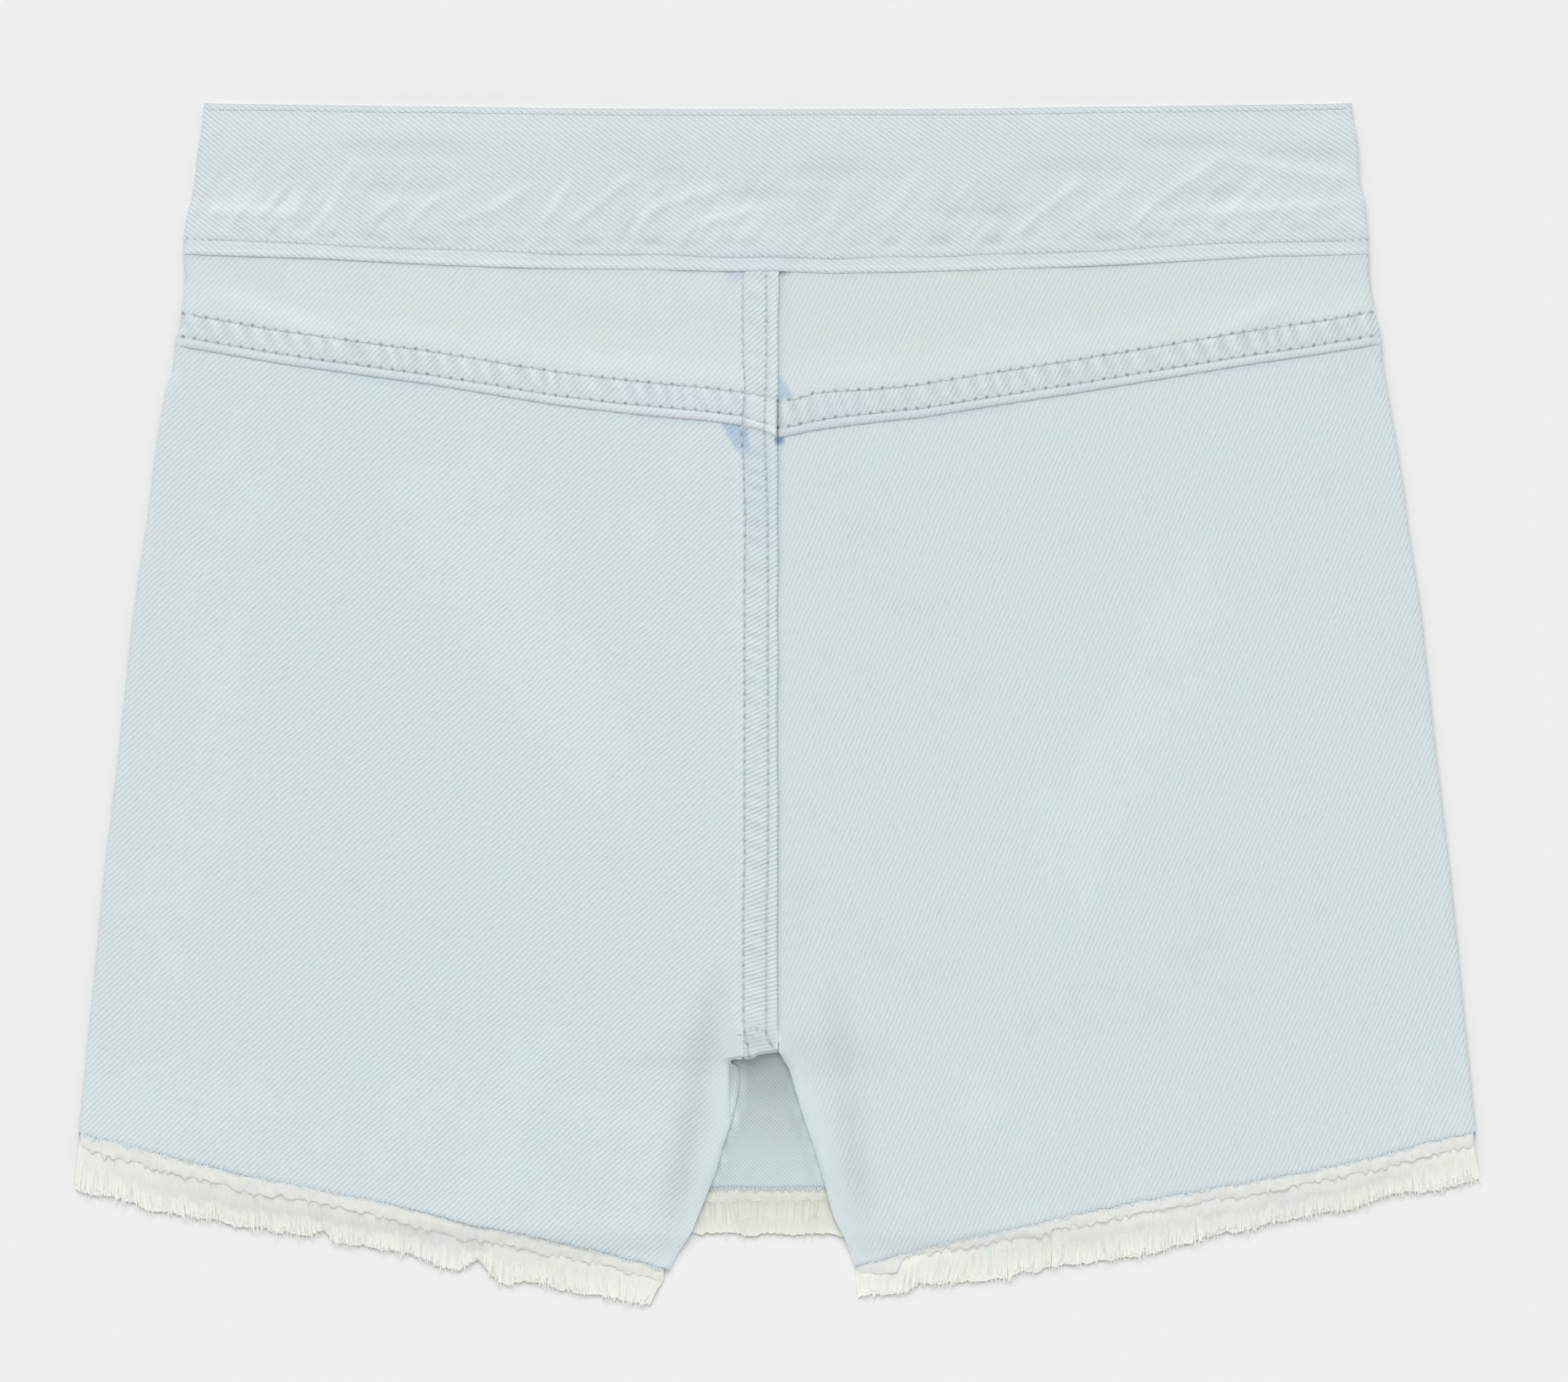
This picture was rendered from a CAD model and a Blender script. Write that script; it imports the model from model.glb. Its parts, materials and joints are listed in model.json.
"""A girl's denim skort, laid flat on its front on a pale floor and seen from straight above.

Each piece of cloth is a closed thin shell on the form of its CAD solid, with its creases, its
stitch grooves and its rolled edges. Threads and frayed yarns are tubes. X is across the
garment, +Y points to the waist and +Z is up. Sizes and places are in millimetres until MM
turns them into metres. Left and right are as the camera sees them, and a side is -1 or 1.
"""

import json
import math
from collections import namedtuple
from functools import partial

import bpy
import numpy as np
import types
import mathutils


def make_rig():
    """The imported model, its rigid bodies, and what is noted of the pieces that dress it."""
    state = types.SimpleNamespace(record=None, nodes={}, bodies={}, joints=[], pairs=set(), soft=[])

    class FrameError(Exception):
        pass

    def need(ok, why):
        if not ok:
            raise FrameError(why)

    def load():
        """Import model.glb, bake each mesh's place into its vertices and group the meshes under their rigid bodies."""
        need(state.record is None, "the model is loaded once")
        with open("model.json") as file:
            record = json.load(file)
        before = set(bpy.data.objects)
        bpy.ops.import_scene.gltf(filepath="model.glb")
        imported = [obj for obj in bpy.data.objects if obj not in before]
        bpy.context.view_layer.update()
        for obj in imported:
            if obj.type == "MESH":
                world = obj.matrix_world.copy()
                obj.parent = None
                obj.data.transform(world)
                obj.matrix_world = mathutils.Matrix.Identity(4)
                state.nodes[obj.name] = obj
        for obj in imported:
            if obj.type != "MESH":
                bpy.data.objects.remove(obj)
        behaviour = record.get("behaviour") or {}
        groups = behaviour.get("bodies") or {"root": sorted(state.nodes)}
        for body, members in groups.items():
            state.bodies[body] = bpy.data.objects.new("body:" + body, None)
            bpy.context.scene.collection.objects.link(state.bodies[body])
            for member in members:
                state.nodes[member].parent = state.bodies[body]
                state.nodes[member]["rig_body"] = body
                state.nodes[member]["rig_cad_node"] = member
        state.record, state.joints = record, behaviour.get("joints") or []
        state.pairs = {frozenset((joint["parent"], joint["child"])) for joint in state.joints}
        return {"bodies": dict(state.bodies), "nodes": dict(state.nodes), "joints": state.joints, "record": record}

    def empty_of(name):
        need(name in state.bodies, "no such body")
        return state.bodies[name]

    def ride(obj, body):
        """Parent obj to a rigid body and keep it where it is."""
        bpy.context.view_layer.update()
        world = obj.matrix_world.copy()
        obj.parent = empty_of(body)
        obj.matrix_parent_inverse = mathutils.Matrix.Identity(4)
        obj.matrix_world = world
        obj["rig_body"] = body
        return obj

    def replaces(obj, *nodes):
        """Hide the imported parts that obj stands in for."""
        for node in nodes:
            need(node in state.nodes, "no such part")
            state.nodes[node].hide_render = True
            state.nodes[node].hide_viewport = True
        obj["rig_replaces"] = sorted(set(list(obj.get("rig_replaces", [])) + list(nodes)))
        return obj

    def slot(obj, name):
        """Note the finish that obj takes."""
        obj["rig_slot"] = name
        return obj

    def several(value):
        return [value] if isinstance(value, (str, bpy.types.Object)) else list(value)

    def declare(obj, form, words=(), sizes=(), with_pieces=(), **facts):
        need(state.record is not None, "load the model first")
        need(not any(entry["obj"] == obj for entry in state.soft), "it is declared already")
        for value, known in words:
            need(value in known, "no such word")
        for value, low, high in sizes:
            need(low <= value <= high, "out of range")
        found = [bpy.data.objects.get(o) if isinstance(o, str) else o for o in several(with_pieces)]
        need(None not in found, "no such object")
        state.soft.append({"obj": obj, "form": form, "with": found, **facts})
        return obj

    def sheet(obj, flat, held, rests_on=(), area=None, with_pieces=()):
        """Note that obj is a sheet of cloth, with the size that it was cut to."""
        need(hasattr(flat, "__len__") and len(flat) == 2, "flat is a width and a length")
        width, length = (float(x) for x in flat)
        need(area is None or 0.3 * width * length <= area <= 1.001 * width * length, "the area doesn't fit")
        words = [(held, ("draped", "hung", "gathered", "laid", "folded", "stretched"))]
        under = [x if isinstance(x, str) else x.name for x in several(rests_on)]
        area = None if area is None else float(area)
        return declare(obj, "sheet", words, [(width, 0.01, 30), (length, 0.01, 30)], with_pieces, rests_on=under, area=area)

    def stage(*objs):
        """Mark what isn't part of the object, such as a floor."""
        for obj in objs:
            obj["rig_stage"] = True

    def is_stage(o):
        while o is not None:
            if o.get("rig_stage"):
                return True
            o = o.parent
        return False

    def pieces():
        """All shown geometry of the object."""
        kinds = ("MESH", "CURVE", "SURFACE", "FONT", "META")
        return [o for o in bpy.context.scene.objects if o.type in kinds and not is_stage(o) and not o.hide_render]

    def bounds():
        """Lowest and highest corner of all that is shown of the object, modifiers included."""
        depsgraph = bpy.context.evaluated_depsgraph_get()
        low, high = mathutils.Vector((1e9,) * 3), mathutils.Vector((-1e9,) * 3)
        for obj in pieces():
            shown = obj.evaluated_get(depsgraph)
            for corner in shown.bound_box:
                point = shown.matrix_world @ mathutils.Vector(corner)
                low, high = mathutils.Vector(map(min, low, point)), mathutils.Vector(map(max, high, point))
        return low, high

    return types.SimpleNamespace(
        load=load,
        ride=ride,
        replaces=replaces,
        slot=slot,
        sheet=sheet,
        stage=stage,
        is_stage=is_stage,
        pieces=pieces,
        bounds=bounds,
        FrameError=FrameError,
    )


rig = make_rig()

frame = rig.load()
cad_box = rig.bounds()

MM = 0.001

# ---- the garment's measures, as its solids have them ----

PLY = 1.0
BAND_WALL = 1.8
LAY = 0.4
PANEL_TOP = PLY
FRONT_TOP = PANEL_TOP + LAY + PLY
BACK_TOP = FRONT_TOP + LAY + PLY + 0.1
BAND_FRONT_TOP = BAND_WALL
BAND_BACK_TOP = BAND_FRONT_TOP + LAY + BAND_WALL + 0.5
BACK_EDGE_Z = 2.35
FRONT_EDGE_Z = 1.75
BAND_BACK_EDGE_Z = 2.8
BAND_FRONT_EDGE_Z = 2.0
SIDE_ROLL = 3.0

WAIST_Y = 165.2
WAIST_SAG = 1.4
BAND_CENTRE_Y = 118.5
BAND_SIDE_Y = 123.6
BAND_CURVE = 1.7
YOKE_CENTRE_Y = 74.2
YOKE_SLOPE = 0.148
PANEL_HEM_CENTRE_Y = -132.8
PANEL_HEM_RISE = 14.6
PANEL_HEM_CURVE = 2.2
PANEL_FRINGE = 11.8
HEM_OUTER_X = 192.0
HEM_INNER_X = 25.0

ROLL_FROM_Y = -88.0
ROLL_WHOLE_Y = -104.0
UNDER_WRAP = 4.0
ROLL_REACH = 3.4
FRONT_LEAVES_Y = -66.0
FRONT_INSET = 4.0
INNER_LIFT = 0.5
INNER_LIFT_WIDTH = 24.0
AIR_FROM_SIDE = 45.0
AIR_FROM_THIGH = 40.0
SINK = 1.1
SINK_OVER = 8.0

# From the waist down, half the garment's width and how far the air lifts its back
HALF_WIDTHS = (
    (165, 158.2), (147.2, 159.4), (128.6, 162.4), (110.1, 163.8), (91.5, 166.4), (63.7, 171),
    (26.6, 176.7), (-10.6, 180.6), (-47.7, 185), (-84.8, 188.6), (-118, 191.9), (-135, 192.3),
    (-170, 192.5),
)
LOFTS = (
    (165, 0.5), (147.2, 0.9), (128.6, 1.3), (110.1, 1.9), (91.5, 2.4), (63.7, 2.8), (26.6, 3),
    (-10.6, 3.1), (-47.7, 3), (-84.8, 2.6), (-118, 1.7), (-135, 1.2), (-170, 0.8),
)

# The visible inner edge of each back leg as (y, x): beside or under the centre-back seam, and
# then the inner thigh
INNERS = {
    "left": (
        (130, -9.32), (-96.8, -9.32), (-97.3, -11.6), (-98.3, -13.1), (-110, -13), (-115.6, -13.2),
        (-118.4, -14), (-121.2, -15), (-128, -16.8), (-133, -18.8), (-139.2, -21.3),
        (-144.8, -23.5), (-150.4, -27.3), (-155.8, -30.2), (-163.7, -32.9), (-172, -35.8),
    ),
    "right": (
        (130, -5.8), (-76, -5.8), (-84, -4.4), (-91, -1.6), (-95.3, 0.5), (-99.8, 3.3),
        (-106.8, 5.3), (-114.4, 7.7), (-120.7, 9.9), (-130.7, 12.9), (-137.7, 14.7),
        (-141.5, 15.9), (-146.5, 18.6), (-152.1, 20.7), (-156.7, 22.3), (-163.3, 23.1),
        (-172, 24.2),
    ),
}

Leg = namedtuple("Leg", "side hem_outer_y hem_inner_y hem_bow grain crotch_y")
LEGS = {
    "left": Leg(-1, -119.6, -157.4, 1.5, -11.8, -96.3),
    "right": Leg(1, -116.8, -153.0, -0.1, 11.7, -92.0),
}
YOKE_GRAIN = {"left": -7.8, "right": 8.7}

# ---- what the solids leave out ----
# A short table of pairs gives a place and the value there

BUTT = 0.02  # pieces meet this closely at a seam

# The centre-back strip: its stitch rows, and its profile from its left edge to its fold
CB_LEFT = -9.3
CB_ROWS = (
    (
        (118, -9.5), (94, -9.5), (88, -9), (81, -9.5), (75, -9.8), (66, -9.25), (50, -8.8),
        (40, -9), (-40, -9), (-60, -9.4), (-88, -9.2), (-91, -8.7), (-94, -8), (-98, -7.6),
    ),
    (
        (118, -3), (88, -3), (80, -3.4), (75, -3.5), (64, -3), (50, -2.6), (-40, -2.5), (-60, -3),
        (-88, -3), (-90.5, -2.9), (-92.5, -2), (-93.8, -1.2), (-95.2, 0.2),
    ),
)
CB_PROFILE = (
    (-9.3, 0.26), (-9, 0.34), (-8.5, 0.62), (-7.6, 0.86), (-6, 0.95), (-4.4, 0.9), (-3, 0.88),
    (-1.6, 0.88), (-0.9, 0.9), (-0.45, 0.8), (-0.15, 0.58), (0, 0.24),
)
CB_WALL = 0.6
CB_PITCH = 3.1
CB_GRAIN = ((118, -12.8), (60, -16.8), (20, -24.8), (-40, -29.8), (-97, -43))
CB_BOTTOM = ((-9.3, -97.1), (-7.9, -97.3), (-6.5, -96.9), (-5.2, -96), (0, -95.3))
CB_TURN = 1.4
CB_END_Z = 2.7

# How far each side of the garment strays outward from its even outline
SIDE_STRAY = {
    -1: (
        (164, -0.8), (158, -0.5), (152, 0.2), (140, 0.1), (134, 0.8), (128, 0.6), (123, 0),
        (117, -0.8), (110, -0.3), (104, -0.7), (101.5, 0.1), (98, 0), (92, -0.4), (87, 0.8),
        (76, 0.8), (66, 0.6), (58, 0.2), (48, 0),
    ),
    1: (
        (164, -0.4), (161, -0.4), (157, 0.5), (150, 0.6), (143, 0), (139, 0.8), (134, 0.3),
        (128, 0), (122, -0.5), (118, -0.7), (113, -0.4), (108, 0.2), (104, 0.7), (100, 0.8),
        (95, 0.2), (86, 0.4), (60, 0.4), (48, 0),
    ),
}

# How far the yoke's lower edge and its stitch rows stray from their straight lines
YOKE_STRAY = {
    "left": (
        (-166, 0.2), (-151, -0.2), (-136, -0.6), (-111, -0.4), (-96, -0.2), (-61, -0.8),
        (-41, -0.2), (-31, 0.3), (-20, 1), (-10, 1.2), (-5, 0.75), (-2, 0), (0, -0.8),
    ),
    "right": (
        (0, -0.9), (4, -0.7), (9, -0.3), (16, -0.3), (29, -0.6), (39, -1.1), (59, -0.8),
        (79, -0.7), (109, -0.2), (129, 0.2), (149, 0.2), (165, 0.5),
    ),
}
YOKE_ROWS = (2.7, 9.25)  # above the edge
YOKE_ROW_STRAY = (
    ((-10, 0.1), (-6, -0.35), (-2, -0.2), (0, 0.2), (3.7, 0), (16, 0.2), (26, 0)),
    ((-8, 0), (-2, 0.65), (1, 0.9), (6, 0.56), (10, 1.1), (16, 0.8), (26, 0)),
)
YOKE_PITCH = 3.2
YOKE_LAP_RISE = 0.55

BAND_STRAY = (
    (-158, 0.4), (-125, 0.9), (-90, 0.45), (-60, 0.4), (-35, 0.8), (-15, 0.55), (0, 0.7),
    (15, 0.05), (60, 0.2), (95, 0.5), (135, 1.1), (158, 0.4),
)
BAND_ROWS = (1.6, 4.25)  # below the top edge, and above the lower edge
BAND_PITCH = 2.0
BAND_GRAIN = ((-160, 86.7), (160, 92.2))

# How far each raw hem strays from its even line, and the lengths of its trim and of the part
# of it whose weave still holds
HEM_STRAY = {
    -1: (
        (-192, 2.4), (-175, 1.3), (-160, 0.6), (-145, 0.2), (-130, 0.3), (-110, 0.8), (-85, 0.3),
        (-62, 1.2), (-45, 1.7), (-32, 1.2),
    ),
    1: (
        (25, 0.1), (48, 0.8), (70, 1), (84, 1.25), (101, 1.1), (112, 0.3), (125, -0.3),
        (150, -0.85), (162, -1), (176, -0.3), (192, -0.2),
    ),
}
TRIM_LENGTHS = {
    "left": (
        (-192, 17), (-180, 16.2), (-174, 17.4), (-160, 15.7), (-146, 15), (-130, 14.8),
        (-127, 12.4), (-125, 11), (-122, 14.7), (-115, 14), (-104, 13.9), (-100, 13.2),
        (-96, 14.3), (-92, 14.8), (-88, 14), (-82, 9.4), (-78, 14.3), (-75, 15.5), (-70, 13.3),
        (-56, 13.4), (-44, 12.7), (-35, 11.4), (-30, 9.6),
    ),
    "right": (
        (22, 9.3), (26, 9.5), (35, 11.2), (38, 12.4), (41, 10), (45, 11.5), (50, 12.8),
        (55, 12.9), (60, 13.8), (65, 14.2), (68, 13.2), (73, 14.1), (80, 14.2), (85, 14.5),
        (90, 15.1), (104, 15.9), (118, 13.8), (130, 14), (144, 12.8), (156, 13.3), (168, 11.8),
        (178, 14.2), (192, 13.5),
    ),
}
HEADERS = {
    "left": ((-192, 4.3), (-150, 4.4), (-130, 3.8), (-100, 4.2), (-60, 3.9), (-35, 3.4)),
    "right": (
        (22, 2.6), (33, 4), (35.5, 0.9), (45, 1.6), (52, 2.8), (60, 2.2), (70, 3.1), (85, 3.4),
        (190, 3.5),
    ),
}
PANEL_HEADER = 3.8

Crease = namedtuple("Crease", "x0 y0 x1 y1 width rise")


def creases(*rows):
    """Ridges, or troughs where the rise is less than nothing, each along a straight line."""
    return [Crease(*row) for row in rows]


THIGH_TROUGHS = {
    "right": creases((15, -78, 22.6, -148, 4.5, -0.6)),
    "left": creases((-15.5, -74, -28.5, -148, 4.5, -0.6)),
}
BOTH_TROUGHS = THIGH_TROUGHS["right"] + THIGH_TROUGHS["left"]
SOFT_CREASES = creases(
    (-96, 60, -40, -40, 16, 0.5), (120, 40, 70, -70, 18, 0.5), (-150, 20, -165, -80, 9, 0.25),
    (150, 10, 172, -90, 10, 0.25), (-60, -90, -90, -150, 7, 0.25), (50, -80, 64, -150, 8, 0.22),
    (-18, 74, -44, 30, 5, 0.2), (4, 70, 6, 40, 2, 0.16), (10, 68, 40, 20, 7, -0.18),
)
LEG_CREASES = BOTH_TROUGHS + SOFT_CREASES
YOKE_CREASES = creases(
    (-162, 117, -120, 98, 3, 0.24), (-150, 118, -112, 101, 2.6, -0.16),
    (-100, 114, -66, 98, 4, 0.14), (112, 96, 140, 112, 2.6, 0.2),
    (126, 98, 156, 114, 2.8, -0.18), (140, 99, 163, 111, 2.4, 0.2), (30, 92, 56, 112, 4, 0.12),
)
BAND_CREASES = creases(
    # short troughs above the lower stitch row
    (-149.5, 129.6, -144, 129.4, 1.9, -0.2), (-141.5, 129.2, -135.5, 129, 2, -0.24),
    (-128, 128.4, -120, 128.6, 1.9, -0.26), (-114.5, 127.9, -106, 127.6, 2, -0.32),
    (-101, 127.1, -91, 127, 2.1, -0.36), (-89, 127, -83, 126.8, 1.8, -0.2),
    (-75, 126.9, -70, 126.8, 1.9, -0.28), (-65.5, 126.6, -61, 126.6, 1.8, -0.22),
    (-56.5, 126.3, -48, 126.5, 2, -0.34), (-43.6, 125.6, -38.4, 134, 1.6, -0.42),
    (-37.5, 126.2, -31.5, 127, 2, -0.36), (-27, 125.8, -21, 126, 1.9, -0.26),
    (-15, 126.2, -5, 126.4, 2.2, -0.26), (28, 126.2, 34, 126.4, 2.2, -0.34),
    (41.5, 126.5, 48, 126.6, 2.2, -0.36), (56, 126.8, 62, 127, 2.2, -0.36),
    (68.2, 126.6, 71, 130, 1.6, -0.34), (77.5, 127, 81, 128.6, 1.8, -0.26),
    (86.5, 127.2, 95, 128, 2.2, -0.38), (99.5, 127.8, 107, 128.6, 2, -0.34),
    (114, 128.6, 117.5, 129.4, 1.6, -0.24), (121, 128.6, 123.4, 132.4, 1.5, -0.34),
    (130, 129.4, 134.5, 130.6, 1.9, -0.22), (140.5, 130, 145, 131, 1.8, -0.28),
    # slanting ridges that fan up from them
    (-125.4, 132, -116, 150, 1.9, 0.3), (-113.4, 131.6, -103.5, 139.4, 1.6, 0.26),
    (-102, 130.8, -97, 137.4, 1.5, 0.24), (-98, 136.6, -86, 142, 1.7, 0.22),
    (-88.5, 132.6, -77, 137, 1.7, 0.24), (-78, 136.4, -67.5, 142.8, 1.7, 0.24),
    (-64.4, 132, -56.4, 144.4, 1.6, 0.36), (-57.6, 131.4, -48, 138.9, 1.7, 0.3),
    (-49, 138.2, -39.6, 145.4, 1.8, 0.28), (-40.4, 128, -32.5, 138, 1.7, 0.4),
    (-34, 136.6, -14, 142.8, 2.2, 0.34), (-27.6, 126.4, -22, 132.8, 1.5, 0.32),
    (-23.4, 131.8, -5.6, 136.4, 2, 0.34), (27.4, 131, 38.6, 145.4, 2.2, 0.26),
    (64.8, 128.6, 71.2, 134.6, 1.5, 0.36), (70, 133.4, 84, 144.4, 1.9, 0.3),
    (80.6, 131.6, 98, 144.6, 2.2, 0.22), (96.8, 130.6, 105.2, 139.8, 1.6, 0.3),
    (104, 138.8, 122, 150.2, 2.2, 0.28), (101, 134, 162, 138, 2, 0.22),
    (120.6, 132.8, 136.4, 146.4, 1.8, 0.26), (119, 150.4, 161, 144.2, 2.6, 0.24),
    (-163, 136.4, -128, 134.6, 2.2, 0.26),
    # broad shallow hollows in the upper half
    (-120, 152.4, -82, 152.4, 3.4, -0.26), (-118, 141.6, -88, 141.4, 3, -0.22),
    (-34, 145.6, -26, 146, 3.4, -0.22), (4, 146, 24, 147, 3.6, -0.28),
    (-14, 139.4, 12, 139.6, 2.6, -0.22), (66, 147, 98, 147.6, 4, -0.26),
    (98, 153.4, 124, 154, 3.2, -0.26), (132, 150.6, 156, 150.6, 3.4, -0.26),
    (42, 134.8, 66, 135, 2.4, -0.24), (118, 140, 130, 140.4, 2.6, -0.24),
)

# ---- small helpers ----


def smooth(t):
    """0 below 0, 1 above 1, and an easy slope between."""
    t = np.clip(t, 0.0, 1.0)
    return t * t * (3 - 2 * t)


def mix(a, b, t):
    return a + (b - a) * t


def bell(offset, width):
    return np.exp(-((offset / width) ** 2))


def through(pairs, at):
    """A line through (place, value) pairs, whichever way they run."""
    return np.interp(at, *zip(*sorted(pairs)))


def vectors(*parts):
    return np.stack(np.broadcast_arrays(*parts), axis=-1).astype(float)


def unit(vector):
    return vector / np.linalg.norm(vector, axis=-1, keepdims=True)


class Field:
    """A smooth seeded field of about -1 to 1, for unevenness."""

    SIZE = 97

    def __init__(self, seed):
        self.table = np.random.default_rng(seed).uniform(-1, 1, (self.SIZE, self.SIZE))

    def __call__(self, x, y=0.0):
        x, y = np.broadcast_arrays(np.asarray(x, float), np.asarray(y, float))
        i, j = np.floor(x).astype(int), np.floor(y).astype(int)
        s, t = smooth(x - i), smooth(y - j)

        def at(di, dj):
            return self.table[(i + di) % self.SIZE, (j + dj) % self.SIZE]

        return mix(mix(at(0, 0), at(1, 0), s), mix(at(0, 1), at(1, 1), s), t)


lumps, puckers, raw_edge = Field(3), Field(5), Field(11)


def round_over(inward):
    """0 at a rounded edge, 1 where the cloth is flat."""
    return np.sqrt(np.maximum(0.0, 1 - (1 - np.clip(inward, 0, 1)) ** 2))


def ridges(rows, x, y, slim=1.0):
    """The height of all these creases, each with its width made so much slimmer."""
    total = np.zeros(np.broadcast(x, y).shape)
    for crease in rows:
        along_x, along_y = crease.x1 - crease.x0, crease.y1 - crease.y0
        length = math.hypot(along_x, along_y)
        t = ((x - crease.x0) * along_x + (y - crease.y0) * along_y) / length**2
        off = ((x - crease.x0) * along_y - (y - crease.y0) * along_x) / length
        beyond = np.maximum(0, np.maximum(-t, t - 1)) * length
        fade = smooth(2.5 * t + 0.35) * smooth(2.5 * (1 - t) + 0.35)
        wide = crease.width * slim
        total += crease.rise * fade * bell(off, wide) * bell(beyond, wide)
    return total


# ---- outlines ----


def half_width(y):
    return through(HALF_WIDTHS, y)


def side_x(side, y):
    """The outline at one side of the garment."""
    return side * (half_width(y) + through(SIDE_STRAY[side], y))


def from_side(x, y):
    """Distance from a point to the nearer side."""
    return np.minimum(side_x(1, y) - x, x - side_x(-1, y))


def waist_y(x):
    level = WAIST_Y - WAIST_SAG * (1 - (x / half_width(WAIST_Y)) ** 2)
    return level + 0.22 * smooth((np.abs(x) - 50) / 40)


def band_y(x):
    y = mix(BAND_CENTRE_Y, BAND_SIDE_Y, (np.abs(x) / half_width(BAND_SIDE_Y)) ** BAND_CURVE)
    return y + through(BAND_STRAY, x)


def under_band(x):
    """The upper edge of the pieces that are sewn to the waistband."""
    return band_y(x) - BUTT


def yoke_y(name, x):
    """The lower edge of one half of the yoke."""
    return YOKE_CENTRE_Y + YOKE_SLOPE * LEGS[name].side * x + through(YOKE_STRAY[name], x)


def yoke_row(row, x):
    """How far a stitch row of the yoke is above the yoke's edge."""
    return YOKE_ROWS[row] + through(YOKE_ROW_STRAY[row], x) + 0.08 * puckers(x / 9, 90.0 + row)


def leg_hem_y(leg, x):
    t = (HEM_OUTER_X - np.abs(x)) / (HEM_OUTER_X - HEM_INNER_X)
    bow = leg.hem_bow * np.sin(np.pi * np.clip(t, 0, 1))
    return mix(leg.hem_outer_y, leg.hem_inner_y, t) + bow


def raw_y(leg, x):
    """The raw hem of a leg, with its small irregularities."""
    stray = through(HEM_STRAY[leg.side], x)
    return leg_hem_y(leg, x) + stray + 0.26 * raw_edge(x / 1.5, 3.0) + 0.12 * raw_edge(x / 7, 9.0)


def panel_hem_y(x):
    return PANEL_HEM_CENTRE_Y + PANEL_HEM_RISE * (np.abs(x) / HEM_OUTER_X) ** PANEL_HEM_CURVE


def panel_raw_y(x):
    return panel_hem_y(x) + 0.2 * raw_edge(x / 1.9, 13.0) + 0.15 * raw_edge(x / 6, 19.0)


def inner_x(name, y):
    x = through(INNERS[name], y)
    return mix(x, cb_left_x(y) - BUTT, smooth((y + 94) / 4)) if name == "left" else x


def by_side(leg, outer, inner):
    """What belongs to the outer and inner side of a leg, from left to right."""
    return (outer, inner) if leg.side < 0 else (inner, outer)


# ---- heights ----


def inner_distance(x, y):
    """Distance from a point on a leg to its own inner thigh."""
    left, right = inner_x("left", y), inner_x("right", y)
    return np.where(x < (left + right) / 2, left - x, x - right)


def loft(x, y):
    """How far the back is raised by the air and the seams under it."""
    thigh = inner_distance(x, y)
    rolled = smooth((ROLL_FROM_Y - y) / (ROLL_FROM_Y - ROLL_WHOLE_Y))
    spread = smooth((half_width(y) - np.abs(x)) / AIR_FROM_SIDE)
    spread = spread * mix(1.0, smooth(thigh / AIR_FROM_THIGH), rolled)
    air = through(LOFTS, y) * spread
    low = smooth((-124 - y) / 22)
    lift = mix(INNER_LIFT, -INNER_LIFT, low) * (1 - smooth(thigh / INNER_LIFT_WIDTH))
    return air + rolled * (lift - 0.5 * low * bell(thigh, 4.0))


def past_panel(x, y):
    """How far a layer sinks where no skirt panel lies under it."""
    return SINK * smooth((panel_hem_y(x) - PANEL_FRINGE - y) / SINK_OVER)


def turned_down(z, x, y, edge_z):
    """Rounds the back down to the side seam."""
    return mix(edge_z, z, round_over(from_side(x, y) / SIDE_ROLL))


def turned_up(z, x, y, edge_z, thickness):
    """Rounds the front up to the side seam."""
    return mix(edge_z, z, round_over((from_side(x, y) - thickness) / SIDE_ROLL))


def base_z(x, y):
    """The upper side of the back layer before its seams."""
    uneven = 0.16 * lumps(x / 31 + 40, y / 37 + 40) + 0.05 * lumps(x / 9 + 20, y / 11 + 60)
    return BACK_TOP + loft(x, y) + ridges(LEG_CREASES, x, y) + uneven


def beside_seam(x):
    """The seam's allowance raises the left half, and the right half dips to pass under it."""
    raised = 0.42 * smooth((x + 15.0) / 4.2) * (x < -6.5)
    dipped = 0.42 * (1 - smooth((x - 0.4) / 4.2)) * (x > -6.5)
    return raised - dipped


def groove(offset, depth=0.2, width=0.55):
    return -depth * bell(offset, width)


def pucker(along, across, period=5.6):
    """The uneven slanting ripples that a shrunken seam has."""
    phase = 2 * np.pi * (along / period + 0.05 * across + 0.55 * puckers(along / 11, 7.0))
    return np.sin(phase) * (0.75 + 0.45 * puckers(along / 17 + 30, across / 9))


def leg_z(x, y, name):
    z = base_z(x, y) + beside_seam(x) - past_panel(x, y)
    z += 0.07 * pucker(x, 0.0) * bell(yoke_y(name, x) - y, 5.0)
    if name == "left":
        z += groove(x - cb_row_x(0, y), 0.18, 0.5) * smooth((y + 92) / 3)
    z += 0.05 * pucker(y, 0.0) * bell(np.minimum(np.abs(x - 2), np.abs(x + 12)), 3.0)
    return turned_down(z, x, y, BACK_EDGE_Z)


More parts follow.
